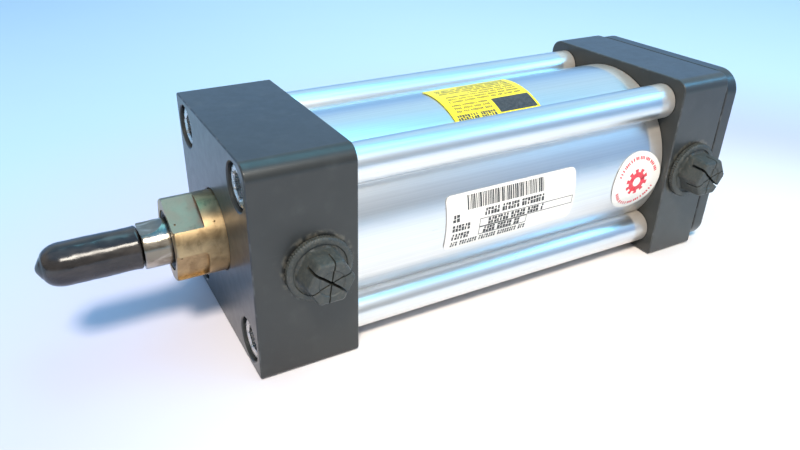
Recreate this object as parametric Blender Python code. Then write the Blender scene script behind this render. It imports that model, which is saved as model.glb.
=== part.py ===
"""Pneumatic cylinder, 2.5 inch bore, 99.8 mm stroke, profile body, rear clevis.

Run with: blender --background --python part.py

Units are metres and +Z is up. The bore runs along X: the rod leaves toward -X, the clevis
is at +X, and both air ports face -Y. The origin is the middle of the head block's underside,
so the whole cylinder stands on Z = 0 and its axis is half a block above.
"""

from math import acos, cos, pi, radians, sin, sqrt

import bmesh
import bpy
from mathutils import Matrix

# ---------------------------------------------------------------- driving dimensions
FIT = 0.0003                      # gap between pieces that touch

BLOCK = 0.0762                    # side of the square head and cap
HEAD_LENGTH = 0.036
BODY_LENGTH = 0.140               # from the head block to the cap block
CAP_LENGTH = 0.0245
PLATE = 0.006                     # clevis plate thickness

BORE_R = 0.03175
TUBE_R = 0.0348                   # outside of the round part of the extrusion
LOBE_R = 0.0068                   # round corner lobes that take the screws
SCREW_AT = 0.0281                 # lobe and screw centres, from the axis in Y and in Z

ROD_R = 0.0079375
STUD_R = 0.0055563                # 7/16 inch male rod end
REAR_STUD_R = 0.00635
GLAND_R = 0.0142875
GLAND_NOSE = 0.0168               # how far the gland stands out of the head
GLAND_DEPTH = 0.012
GLAND_FLAT = 0.0121               # axis to wrench flat
GLAND_FLAT_START = 0.0065         # plain collar left beside the head
GLAND_TURN = radians(23)          # first flat, from straight up toward the port side

PORT_R = 0.00855                  # tapping size of the 3/8 inch pipe port
PORT_FROM_BODY = 0.0145           # head port centre, back from the body end of the head
CAP_PORT_FROM_BODY = 0.0123
CUSHION_BORE_R = 0.012
CAP_CUSHION_BORE_R = 0.0102
SLEEVE_R = 0.011
SPEAR_R = 0.0095
CUSHION_SEAL_WIDTH = 0.0041       # grooves that hold the two cushion seals
HEAD_SEAL_R = 0.0145
CAP_SEAL_R = 0.0127
PILOT = 0.0045                    # spigot that centres each block in the tube
PISTON_LENGTH = 0.0298

SCREW_R = 0.0047625               # 3/8 inch socket-head cap screw
SCREW_HEAD_R = 0.0071438
SCREW_HEAD = 0.0095
SCREW_SOCKET = 0.0039688          # axis to hexagon flat
SCREW_HOLE_DEPTH = 0.0255
HEAD_SCREW_SUNK = 0.001
HEAD_SCREW_BORE_R = 0.00775       # counterbore round a screw head
FLAT_HEAD_R = 0.0093              # countersunk screws that hold the clevis and the cap
FLAT_HEAD = 0.0052
FLAT_SOCKET = 0.0027813           # axis to hexagon flat
FLAT_SOCKET_DEPTH = 0.0030
FLAT_HEAD_SUNK = 0.0002

CLEVIS_GAP = 0.01905
CLEVIS_EAR = 0.0127
CLEVIS_PIN_R = 0.00635
CLEVIS_REACH = 0.01905            # plate to pin centre
CLEVIS_ROUND = 0.0127

PROTECTOR_R = 0.0074
PROTECTOR_LENGTH = 0.0319
PLUG_R = 0.0115
PLUG_FLANGE = 0.0024
PLUG_GRIP_R = 0.0084
PLUG_GRIP = 0.0085
PLUG_SLOT = 0.0010

BIG, MID, HOLE, SMALL = 32, 24, 16, 12      # sides of turned pieces, by size

# ---------------------------------------------------------------- places along X
AXIS_Z = BLOCK / 2
HALF = BLOCK / 2
FACE_X = -HEAD_LENGTH / 2         # front of the head
HEAD_END = FACE_X + HEAD_LENGTH   # body end of the head
CAP_START = HEAD_END + BODY_LENGTH
CAP_END = CAP_START + CAP_LENGTH
PLATE_START = CAP_END + FIT
PLATE_END = PLATE_START + PLATE
PIN_X = PLATE_END + CLEVIS_REACH
HEAD_PORT_X = HEAD_END - PORT_FROM_BODY
CAP_PORT_X = CAP_START + CAP_PORT_FROM_BODY
GLAND_END = FACE_X + GLAND_DEPTH
GLAND_FRONT = FACE_X - GLAND_NOSE
PISTON_END = CAP_START - PILOT - 2 * FIT
PISTON_START = PISTON_END - PISTON_LENGTH
SHOULDER_X = GLAND_FRONT - 0.009  # rod shoulder, where the male thread starts
HEAD_SEAL_X = HEAD_END - 0.0045   # where the cushion seals' grooves start
CAP_SEAL_X = CAP_START - 0.0015
STUD_LENGTH = 0.0190

MATERIALS = {
    "anodised_black": ((0.055, 0.062, 0.070), 0.42, 0.55),
    "anodised_clear": ((0.74, 0.76, 0.79), 0.30, 1.0),
    "bronze": ((0.62, 0.46, 0.26), 0.33, 1.0),
    "chrome": ((0.78, 0.77, 0.76), 0.10, 1.0),
    "zinc_steel": ((0.70, 0.70, 0.68), 0.28, 1.0),
    "dark_steel": ((0.16, 0.16, 0.17), 0.38, 1.0),
    "cast_aluminium": ((0.62, 0.63, 0.64), 0.45, 1.0),
    "black_vinyl": ((0.030, 0.028, 0.028), 0.24, 0.0),
    "black_plastic": ((0.045, 0.047, 0.045), 0.50, 0.0),
    "nitrile": ((0.018, 0.018, 0.018), 0.62, 0.0),
    "urethane": ((0.45, 0.36, 0.16), 0.45, 0.0),
    "acetal": ((0.80, 0.78, 0.70), 0.50, 0.0),
    "label_white": ((0.86, 0.86, 0.87), 0.38, 0.0),
    "label_yellow": ((0.90, 0.76, 0.08), 0.40, 0.0),
}


# ---------------------------------------------------------------- small toolbox
def material(name):
    """The named Principled material, made on first use."""
    if name in bpy.data.materials:
        return bpy.data.materials[name]
    color, roughness, metallic = MATERIALS[name]
    made = bpy.data.materials.new(name)
    made.use_nodes = True
    shader = made.node_tree.nodes["Principled BSDF"]
    shader.inputs["Base Color"].default_value = (*color, 1.0)
    shader.inputs["Roughness"].default_value = roughness
    shader.inputs["Metallic"].default_value = metallic
    return made


def place(name, shape, finish=None, at=(0, 0, AXIS_Z), turn=0.0):
    """Make an object of a bmesh. Without a finish it is a hidden cutter or tool."""
    bmesh.ops.recalc_face_normals(shape, faces=shape.faces)
    mesh = bpy.data.meshes.new(name)
    shape.to_mesh(mesh)
    shape.free()
    made = bpy.data.objects.new(name, mesh)
    bpy.context.scene.collection.objects.link(made)
    made.location = at
    made.rotation_euler.z = turn
    if finish:
        mesh.materials.append(material(finish))
        mesh.shade_smooth()
        mesh.set_sharp_from_angle(angle=radians(32))
    else:
        made.hide_render = True
        made.display_type = "WIRE"
    return made


def combine(target, tool, operation="DIFFERENCE"):
    """Cut the tool out of the target, or join it on."""
    change = target.modifiers.new(tool.name, "BOOLEAN")
    change.operation = operation
    change.solver = "EXACT"
    change.object = tool


def ring_radius(radius, flats, angle):
    """Radius at an angle: a circle, or a polygon whose flats stand off by radius."""
    if not flats:
        return radius
    sector = 2 * pi / flats
    offset = (angle + sector / 2) % sector - sector / 2
    return radius / cos(offset)


def lathe(profile, sides):
    """Turn a closed profile of (x, radius) or (x, radius, flats) points about X."""
    shape = bmesh.new()
    rings = []
    for point in profile:
        x, radius = point[:2]
        flats = point[2] if len(point) > 2 else 0
        if radius == 0:
            rings.append([shape.verts.new((x, 0, 0))] * sides)
            continue
        ring = []
        for step in range(sides):
            angle = 2 * pi * step / sides
            r = ring_radius(radius, flats, angle)
            ring.append(shape.verts.new((x, r * sin(angle), r * cos(angle))))
        rings.append(ring)
    for index, ring in enumerate(rings):
        following = rings[(index + 1) % len(rings)]
        for step in range(sides):
            after = (step + 1) % sides
            corners = (ring[step], following[step], following[after], ring[after])
            distinct = list(dict.fromkeys(corners))
            if len(distinct) > 2:
                shape.faces.new(distinct)
    return shape


def tube_profile(start, end, inner, outer):
    """Profile of a plain ring."""
    return [(start, inner), (start, outer), (end, outer), (end, inner)]


def rod_profile(start, end, radius):
    """Profile of a plain solid bar."""
    return [(start, 0), (start, radius), (end, radius), (end, 0)]


def oring_profile(x, radius, section, points=6):
    """Round section of an O-ring."""
    turns = [2 * pi * step / points for step in range(points)]
    return [(x + section * cos(turn), radius + section * sin(turn)) for turn in turns]


def prism(outline, start, end, along="X"):
    """Extrude a closed outline of (a, b) points along X, in the plane of Y and Z, or along Z."""
    shape = bmesh.new()
    if along == "X":
        corners = [shape.verts.new((start, a, b)) for a, b in outline]
        step = (end - start, 0, 0)
    else:
        corners = [shape.verts.new((a, b, start)) for a, b in outline]
        step = (0, 0, end - start)
    face = shape.faces.new(corners)
    grown = bmesh.ops.extrude_face_region(shape, geom=[face])
    moved = [item for item in grown["geom"] if isinstance(item, bmesh.types.BMVert)]
    bmesh.ops.translate(shape, verts=moved, vec=step)
    return shape


def arc(center, radius, start, end, steps):
    """Points on an arc, angles in radians from the first axis."""
    points = []
    for step in range(steps + 1):
        angle = start + (end - start) * step / steps
        points.append((center[0] + radius * cos(angle), center[1] + radius * sin(angle)))
    return points


def rounded_square(half, radii, steps=5):
    """Square outline about the axis; radii go anticlockwise from the +Y +Z corner."""
    outline = []
    for corner, radius in enumerate(radii):
        start = corner * pi / 2
        reach = half - radius
        middle = start + pi / 4
        center = (reach * sqrt(2) * cos(middle), reach * sqrt(2) * sin(middle))
        outline += arc(center, radius, start, start + pi / 2, steps)
    return outline


def corners(distance=SCREW_AT):
    """The four screw places as (number, y, z), anticlockwise from +Y +Z."""
    signs = ((1, 1), (-1, 1), (-1, -1), (1, -1))
    return [(n + 1, y * distance, z * distance) for n, (y, z) in enumerate(signs)]


# ---------------------------------------------------------------- head and cap
def cross_bore(target, name, x, profile, turn):
    """Cut a turned profile into a block's side; local +X points out of the block."""
    tool = place(name, lathe(profile, HOLE), at=(x, 0, AXIS_Z), turn=turn)
    combine(target, tool)


OUT_PORT_SIDE = -pi / 2           # turns local +X to -Y
OUT_FAR_SIDE = pi / 2             # turns local +X to +Y
NEEDLE_R = 0.0034
NEEDLE_HOLE_R = 0.004
NEEDLE_SEAT = 0.0215              # depth of the needle hole, measured from the axis
ORING_GROOVE = 0.0023


def pilot_profile(start, direction):
    """Spigot with its O-ring groove; direction is +1 away from the head, -1 from the cap."""
    steps = [(-0.002, 0.0), (-0.002, BORE_R - FIT), (0.0010, BORE_R - FIT),
             (0.0010, BORE_R - 0.0023), (0.0010 + ORING_GROOVE, BORE_R - 0.0023),
             (0.0010 + ORING_GROOVE, BORE_R - FIT), (PILOT - 0.0004, BORE_R - FIT),
             (PILOT, BORE_R - 0.0007), (PILOT, 0.0)]
    return [(start + direction * x, r) for x, r in steps]


def end_block(name, start, end, radii, finish):
    """Square block with its long edges rounded."""
    outline = rounded_square(HALF, radii)
    return place(name, prism(outline, start, end), finish)


def cut_needle_hole(block, name, x, bore_r):
    """Stepped hole from the far side down to the cushion bore."""
    profile = [(bore_r * 0.8, 0), (bore_r * 0.8, 0.0012), (NEEDLE_SEAT, 0.0012),
               (NEEDLE_SEAT, NEEDLE_HOLE_R), (HALF - 0.0014, NEEDLE_HOLE_R),
               (HALF + 0.001, NEEDLE_HOLE_R + 0.0010), (HALF + 0.001, 0)]
    cross_bore(block, name, x, profile, OUT_FAR_SIDE)


def cut_port(block, name, x, bore_r):
    """Air port from the near side into the cushion bore."""
    profile = [(bore_r * 0.6, 0), (bore_r * 0.6, PORT_R - 0.0016),
               (HALF - 0.0175, PORT_R - 0.0016), (HALF - 0.0175, PORT_R - 0.0005),
               (HALF - 0.0008, PORT_R), (HALF + 0.0008, PORT_R + 0.0016), (HALF + 0.0008, 0)]
    cross_bore(block, name, x, profile, OUT_PORT_SIDE)


def make_head():
    head = end_block("head", FACE_X, HEAD_END, (0.0012, 0.0055, 0.0012, 0.0012),
                     "anodised_black")
    pilot = place("tool_head_pilot", lathe(pilot_profile(HEAD_END, 1), BIG))
    combine(head, pilot, "UNION")
    bore_start = GLAND_END + 0.0005
    seal_end = HEAD_SEAL_X + CUSHION_SEAL_WIDTH
    bore = [(FACE_X - 0.001, 0), (FACE_X - 0.001, GLAND_R + FIT), (bore_start, GLAND_R + FIT),
            (bore_start, CUSHION_BORE_R), (HEAD_SEAL_X, CUSHION_BORE_R),
            (HEAD_SEAL_X, HEAD_SEAL_R), (seal_end, HEAD_SEAL_R), (seal_end, CUSHION_BORE_R),
            (HEAD_END + PILOT + 0.001, CUSHION_BORE_R), (HEAD_END + PILOT + 0.001, 0)]
    combine(head, place("cut_head_bore", lathe(bore, BIG)))
    sink = FACE_X + HEAD_SCREW_SUNK + SCREW_HEAD + FIT
    hole = [(FACE_X - 0.001, 0), (FACE_X - 0.001, HEAD_SCREW_BORE_R), (sink, HEAD_SCREW_BORE_R),
            (sink, SCREW_R + FIT), (HEAD_END + 0.001, SCREW_R + FIT), (HEAD_END + 0.001, 0)]
    for number, y, z in corners():
        tool = place(f"cut_head_screw_{number}", lathe(hole, HOLE), at=(0, y, AXIS_Z + z))
        combine(head, tool)
    cut_port(head, "cut_head_port", HEAD_PORT_X, CUSHION_BORE_R)
    cut_needle_hole(head, "cut_head_needle", HEAD_PORT_X, CUSHION_BORE_R)


def make_cap():
    cap = end_block("cap", CAP_START, CAP_END, (0.005, 0.005, 0.0012, 0.0012),
                    "anodised_black")
    pilot = place("tool_cap_pilot", lathe(pilot_profile(CAP_START, -1), BIG))
    combine(cap, pilot, "UNION")
    front = CAP_START - PILOT - 0.001
    seal_end = CAP_SEAL_X + CUSHION_SEAL_WIDTH
    floor = CAP_END - 0.006
    bore = [(front, 0), (front, CAP_CUSHION_BORE_R), (CAP_SEAL_X, CAP_CUSHION_BORE_R),
            (CAP_SEAL_X, CAP_SEAL_R), (seal_end, CAP_SEAL_R), (seal_end, CAP_CUSHION_BORE_R),
            (floor, CAP_CUSHION_BORE_R), (floor, 0)]
    combine(cap, place("cut_cap_bore", lathe(bore, MID)))
    hole = rod_profile(CAP_START - 0.001, CAP_END + 0.001, SCREW_R + FIT)
    for number, y, z in corners():
        tool = place(f"cut_cap_screw_{number}", lathe(hole, HOLE), at=(0, y, AXIS_Z + z))
        combine(cap, tool)
    cut_port(cap, "cut_cap_port", CAP_PORT_X, CAP_CUSHION_BORE_R)
    cut_needle_hole(cap, "cut_cap_needle", CAP_PORT_X, CAP_CUSHION_BORE_R)


# ---------------------------------------------------------------- body extrusion
def extrusion_outline():
    """Round tube with a round lobe on each diagonal, as one outline."""
    away = SCREW_AT * sqrt(2)
    along = (TUBE_R ** 2 - LOBE_R ** 2 + away ** 2) / (2 * away)
    tube_half = acos(along / TUBE_R)
    lobe_half = acos((along - away) / LOBE_R)
    outline = []
    for quarter in range(4):
        middle = pi / 4 + quarter * pi / 2
        center = (away * cos(middle), away * sin(middle))
        outline += arc(center, LOBE_R, middle - lobe_half, middle + lobe_half, 10)
        tube_start = middle + tube_half
        tube_end = middle + pi / 2 - tube_half
        outline += arc((0, 0), TUBE_R, tube_start, tube_end, 8)[1:-1]
    return outline


def make_body():
    start, end = HEAD_END + FIT, CAP_START - FIT
    body = place("body_extrusion", prism(extrusion_outline(), start, end), "anodised_clear")
    bore = rod_profile(start - 0.001, end + 0.001, BORE_R)
    combine(body, place("cut_body_bore", lathe(bore, BIG)))
    for number, y, z in corners():
        for side, a, b in (("front", start - 0.001, start + SCREW_HOLE_DEPTH),
                           ("rear", end - SCREW_HOLE_DEPTH, end + 0.001)):
            hole = lathe(rod_profile(a, b, SCREW_R + FIT), HOLE)
            tool = place(f"cut_body_{side}_{number}", hole, at=(0, y, AXIS_Z + z))
            combine(body, tool)


# ---------------------------------------------------------------- screws
def screw_mesh(length):
    """Socket-head cap screw along +X, its head's top face at x = 0."""
    top = 0.0007
    profile = [(0.0044, 0), (0.0036, SCREW_SOCKET, 6), (0, SCREW_SOCKET, 6),
               (0, SCREW_HEAD_R - top), (top, SCREW_HEAD_R), (SCREW_HEAD, SCREW_HEAD_R),
               (SCREW_HEAD, SCREW_R), (SCREW_HEAD + length - 0.001, SCREW_R),
               (SCREW_HEAD + length, SCREW_R - 0.001), (SCREW_HEAD + length, 0)]
    return lathe(profile, SMALL)


def flat_screw_mesh(length):
    """Countersunk socket screw along +X, its head's flat face at x = 0."""
    profile = [(FLAT_SOCKET_DEPTH + 0.0006, 0), (FLAT_SOCKET_DEPTH, FLAT_SOCKET, 6),
               (0, FLAT_SOCKET, 6), (0, FLAT_HEAD_R - 0.0003), (0.0003, FLAT_HEAD_R),
               (0.0006, FLAT_HEAD_R), (FLAT_HEAD, SCREW_R), (length - 0.001, SCREW_R),
               (length, SCREW_R - 0.001), (length, 0)]
    return lathe(profile, SMALL)


def make_screws():
    head_top = FACE_X + HEAD_SCREW_SUNK
    head_length = HEAD_END + SCREW_HOLE_DEPTH - head_top - SCREW_HEAD - 0.003
    cap_top = PLATE_END - FLAT_HEAD_SUNK
    cap_length = cap_top - (CAP_START - SCREW_HOLE_DEPTH) - 0.003
    for number, y, z in corners():
        place(f"head_screw_{number}", screw_mesh(head_length), "zinc_steel",
              at=(head_top, y, AXIS_Z + z))
        place(f"cap_screw_{number}", flat_screw_mesh(cap_length), "zinc_steel",
              at=(cap_top, y, AXIS_Z + z), turn=pi)


# ---------------------------------------------------------------- gland and its seals
WIPER_R = 0.0104
WIPER_DEPTH = 0.0036
ROD_SEAL_START = FACE_X - 0.005
ROD_SEAL_END = ROD_SEAL_START + 0.0042
GLAND_ORING_X = GLAND_END - 0.0026
RUN_R = ROD_R + FIT               # bore that the rod runs in
ROD_SEAL_R = 0.0112


def turned_box(name, distance, reach, start, end, angle):
    """Box outside a flat that stands distance from the axis, at an angle from +Z to -Y."""
    outline = [(-reach, distance), (reach, distance), (reach, distance + reach),
               (-reach, distance + reach)]
    shape = prism(outline, start, end)
    bmesh.ops.rotate(shape, verts=shape.verts, matrix=Matrix.Rotation(angle, 3, "X"))
    return place(name, shape)


def make_gland():
    groove = ORING_GROOVE / 2
    profile = [(GLAND_FRONT, WIPER_R), (GLAND_FRONT, GLAND_R - 0.0006),
               (GLAND_FRONT + 0.0006, GLAND_R), (GLAND_ORING_X - groove, GLAND_R),
               (GLAND_ORING_X - groove, 0.0122), (GLAND_ORING_X + groove, 0.0122),
               (GLAND_ORING_X + groove, GLAND_R), (GLAND_END, GLAND_R), (GLAND_END, RUN_R),
               (ROD_SEAL_END, RUN_R), (ROD_SEAL_END, ROD_SEAL_R), (ROD_SEAL_START, ROD_SEAL_R),
               (ROD_SEAL_START, RUN_R), (GLAND_FRONT + WIPER_DEPTH, RUN_R),
               (GLAND_FRONT + WIPER_DEPTH, WIPER_R)]
    gland = place("rod_gland", lathe(profile, BIG), "bronze")
    for side in range(4):
        angle = GLAND_TURN + side * pi / 2
        flat = turned_box(f"cut_gland_flat_{side}", GLAND_FLAT, 0.012, GLAND_FRONT - 0.001,
                          FACE_X - GLAND_FLAT_START, angle)
        combine(gland, flat)

    lip = 0.0009
    wiper = [(GLAND_FRONT + FIT, RUN_R + lip), (GLAND_FRONT + FIT, WIPER_R - FIT),
             (GLAND_FRONT + WIPER_DEPTH - FIT, WIPER_R - FIT),
             (GLAND_FRONT + WIPER_DEPTH - FIT, RUN_R + lip), (GLAND_FRONT + 0.0012, RUN_R)]
    place("rod_wiper", lathe(wiper, MID), "urethane")
    seal = cup_profile(ROD_SEAL_START + FIT, ROD_SEAL_END - FIT, RUN_R, ROD_SEAL_R - FIT)
    place("rod_seal", lathe(seal, MID), "nitrile")
    place("gland_o_ring", lathe(oring_profile(GLAND_ORING_X, 0.01335, 0.00085), MID), "nitrile")


def cup_profile(start, end, inner, outer):
    """U-cup seal section, open toward the end."""
    middle = (inner + outer) / 2
    wall = (outer - inner) * 0.28
    floor = start + (end - start) * 0.45
    return [(start, inner), (start, outer), (end, outer), (end, outer - wall),
            (floor, middle), (end, inner + wall), (end, inner)]


# ---------------------------------------------------------------- rod and piston
PISTON_R = BORE_R - 0.00055
SEAL_FLOOR = BORE_R - 0.0052
SEAL_WIDTH = 0.0050
WEAR_FLOOR = 0.0298
WEAR_WIDTH = 0.0082
SEAL_1 = PISTON_START + 0.0028
WEAR_1 = SEAL_1 + SEAL_WIDTH + 0.0030
SEAL_2 = WEAR_1 + WEAR_WIDTH + 0.0030
STEP_X = PISTON_START - 0.0151    # rod steps down to its rear stud
SPEAR_END = CAP_END - 0.0085
REAR_STUD_END = SPEAR_END - 0.0045
ROD_FLAT = 0.00635                # axis to wrench flat on the rod


def make_rod():
    tip = SHOULDER_X - STUD_LENGTH
    profile = [(tip, 0), (tip, STUD_R - 0.001), (tip + 0.001, STUD_R),
               (SHOULDER_X - 0.0022, STUD_R), (SHOULDER_X - 0.0018, STUD_R - 0.0007),
               (SHOULDER_X, STUD_R - 0.0007), (SHOULDER_X, ROD_R - 0.0005),
               (SHOULDER_X + 0.0005, ROD_R), (STEP_X, ROD_R), (STEP_X, REAR_STUD_R),
               (REAR_STUD_END - 0.0008, REAR_STUD_R), (REAR_STUD_END, REAR_STUD_R - 0.0008),
               (REAR_STUD_END, 0)]
    rod = place("piston_rod", lathe(profile, MID), "chrome")
    for side in range(2):
        flat = turned_box(f"cut_rod_flat_{side}", ROD_FLAT, 0.009, SHOULDER_X - 0.0001,
                          SHOULDER_X + 0.0080, side * pi)
        combine(rod, flat)


def make_piston():
    bore = REAR_STUD_R + FIT
    profile = [(PISTON_START, bore), (PISTON_START, PISTON_R - 0.0008),
               (PISTON_START + 0.0008, PISTON_R)]
    for start, width, floor in ((SEAL_1, SEAL_WIDTH, SEAL_FLOOR),
                                (WEAR_1, WEAR_WIDTH, WEAR_FLOOR),
                                (SEAL_2, SEAL_WIDTH, SEAL_FLOOR)):
        profile += [(start, PISTON_R), (start, floor), (start + width, floor),
                    (start + width, PISTON_R)]
    profile += [(PISTON_END - 0.0008, PISTON_R), (PISTON_END, PISTON_R - 0.0008),
                (PISTON_END, bore), (PISTON_END - 0.004, bore), (PISTON_END - 0.004, 0.0082),
                (PISTON_END - 0.0063, 0.0082), (PISTON_END - 0.0063, bore)]
    place("piston", lathe(profile, BIG), "cast_aluminium")

    outer = BORE_R - FIT
    for name, start, opens in (("piston_seal_front", SEAL_1, -1), ("piston_seal_rear", SEAL_2, 1)):
        a, b = start + FIT, start + SEAL_WIDTH - FIT
        ends = (a, b) if opens > 0 else (b, a)
        place(name, lathe(cup_profile(*ends, SEAL_FLOOR + FIT, outer), BIG), "nitrile")
    wear = tube_profile(WEAR_1 + FIT, WEAR_1 + WEAR_WIDTH - FIT, WEAR_FLOOR + FIT, outer)
    place("piston_wear_ring", lathe(wear, BIG), "acetal")
    place("piston_o_ring", lathe(oring_profile(PISTON_END - 0.00515, 0.0073, 0.00060), SMALL),
          "nitrile")


def make_cushions():
    bore = REAR_STUD_R + FIT
    start, end = STEP_X + FIT, PISTON_START - FIT
    sleeve = [(start, bore), (start, SLEEVE_R - 0.0016), (start + 0.0042, SLEEVE_R),
              (end, SLEEVE_R), (end, bore)]
    place("front_cushion_sleeve", lathe(sleeve, MID), "dark_steel")
    start = PISTON_END + FIT
    blind = REAR_STUD_END + FIT
    spear = [(start, bore), (start, SPEAR_R), (SPEAR_END - 0.004, SPEAR_R),
             (SPEAR_END, SPEAR_R - 0.0016), (SPEAR_END, 0), (blind, 0), (blind, bore)]
    place("rear_cushion_spear", lathe(spear, MID), "dark_steel")

    low, high = HEAD_SEAL_X + FIT, HEAD_SEAL_X + CUSHION_SEAL_WIDTH - FIT
    ring = cup_profile(high, low, SLEEVE_R + FIT, HEAD_SEAL_R - FIT)
    place("head_cushion_seal", lathe(ring, MID), "urethane")
    low, high = CAP_SEAL_X + FIT, CAP_SEAL_X + CUSHION_SEAL_WIDTH - FIT
    ring = cup_profile(low, high, SPEAR_R + FIT, CAP_SEAL_R - FIT)
    place("cap_cushion_seal", lathe(ring, MID), "urethane")


def make_body_seals():
    middle = 0.0010 + ORING_GROOVE / 2
    for name, x in (("head_body_o_ring", HEAD_END + middle), ("cap_body_o_ring", CAP_START - middle)):
        place(name, lathe(oring_profile(x, BORE_R - 0.00115, 0.00085), BIG), "nitrile")


# ---------------------------------------------------------------- needles, plugs, protector
def make_needle(end_name, x, bore_r):
    """Cushion adjusting needle from the far side, with its O-ring. Local +X points out."""
    top = HALF - 0.0012
    oring_at = HALF - 0.0052
    tip = NEEDLE_SEAT + FIT
    groove = 0.0010
    profile = [(tip - 0.0050, 0), (tip - 0.0050, 0.0006), (tip, 0.0009),
               (tip, NEEDLE_R - 0.0010), (tip + 0.0010, NEEDLE_R),
               (oring_at - groove, NEEDLE_R), (oring_at - groove, NEEDLE_R - 0.0012),
               (oring_at + groove, NEEDLE_R - 0.0012), (oring_at + groove, NEEDLE_R),
               (top - 0.0004, NEEDLE_R), (top, NEEDLE_R - 0.0004), (top, 0.0012, 6),
               (top - 0.0022, 0.0012, 6), (top - 0.0028, 0)]
    at = (x, 0, AXIS_Z)
    place(f"{end_name}_cushion_needle", lathe(profile, SMALL), "zinc_steel", at, OUT_FAR_SIDE)
    ring = oring_profile(oring_at, 0.0031, 0.00060)
    place(f"{end_name}_needle_o_ring", lathe(ring, SMALL), "nitrile", at, OUT_FAR_SIDE)


def make_port_plug(name, x):
    """Moulded closing plug: stem in the port, flange, and a grip split by three slots."""
    seat = HALF + FIT
    flange = seat + PLUG_FLANGE
    top = flange + PLUG_GRIP
    stem = PORT_R - 0.0006
    profile = [(HALF - 0.012, 0), (HALF - 0.012, stem - 0.0006), (seat, stem), (seat, PLUG_R - 0.0005),
               (seat + 0.0005, PLUG_R), (flange - 0.0004, PLUG_R), (flange, PLUG_R - 0.0006),
               (flange, PLUG_GRIP_R), (top - 0.0005, PLUG_GRIP_R - 0.0003),
               (top, PLUG_GRIP_R - 0.0008), (top, 0)]
    plug = place(name, lathe(profile, MID), "black_plastic", (x, 0, AXIS_Z), OUT_PORT_SIDE)
    for slot in range(3):
        half = PLUG_SLOT / 2
        outline = [(-half, -0.012), (half, -0.012), (half, 0.012), (-half, 0.012)]
        shape = prism(outline, flange + 0.001, top + 0.001)
        turn = Matrix.Rotation(radians(50) + slot * pi / 3, 3, "X")
        bmesh.ops.rotate(shape, verts=shape.verts, matrix=turn)
        tool = place(f"cut_{name}_slot_{slot}", shape, at=(x, 0, AXIS_Z), turn=OUT_PORT_SIDE)
        combine(plug, tool)


def make_protector():
    """Vinyl cap pushed over the male rod end: a closed round nose with a moulding nipple."""
    mouth = SHOULDER_X - FIT
    tip = mouth - PROTECTOR_LENGTH
    nose = 0.0062
    inner = STUD_R + FIT
    bottom = SHOULDER_X - STUD_LENGTH - 0.001
    outer = [(tip, 0), (tip, 0.0010), (tip + 0.0012, 0.0021)]
    for step in range(1, 6):
        angle = radians(90) * step / 5
        outer.append((tip + 0.0018 + nose * (1 - cos(angle)),
                      0.0026 + (PROTECTOR_R - 0.0026) * sin(angle)))
    profile = outer + [(mouth - 0.0004, PROTECTOR_R), (mouth, PROTECTOR_R - 0.0004),
                       (mouth, inner), (bottom, inner), (bottom - 0.002, inner - 0.002),
                       (bottom - 0.002, 0)]
    place("thread_protector", lathe(profile, MID), "black_vinyl")


# ---------------------------------------------------------------- clevis
PIN_END = CLEVIS_GAP / 2 + CLEVIS_EAR + 0.0038
PIN_GROOVE = CLEVIS_GAP / 2 + CLEVIS_EAR + 0.0004
RING_THICK = 0.0010
PIN_RING_R = 0.0094
PLATE_CORNER = 0.009
EAR_ROOT = 0.0175                 # half height of an ear where it meets the plate


def upright(shape, down=False):
    """Stand a shape that was turned about X on end, so that local +X points up, or down."""
    turn = Matrix.Rotation(pi / 2 if down else -pi / 2, 3, "Y")
    bmesh.ops.rotate(shape, verts=shape.verts, matrix=turn)
    return shape


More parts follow.
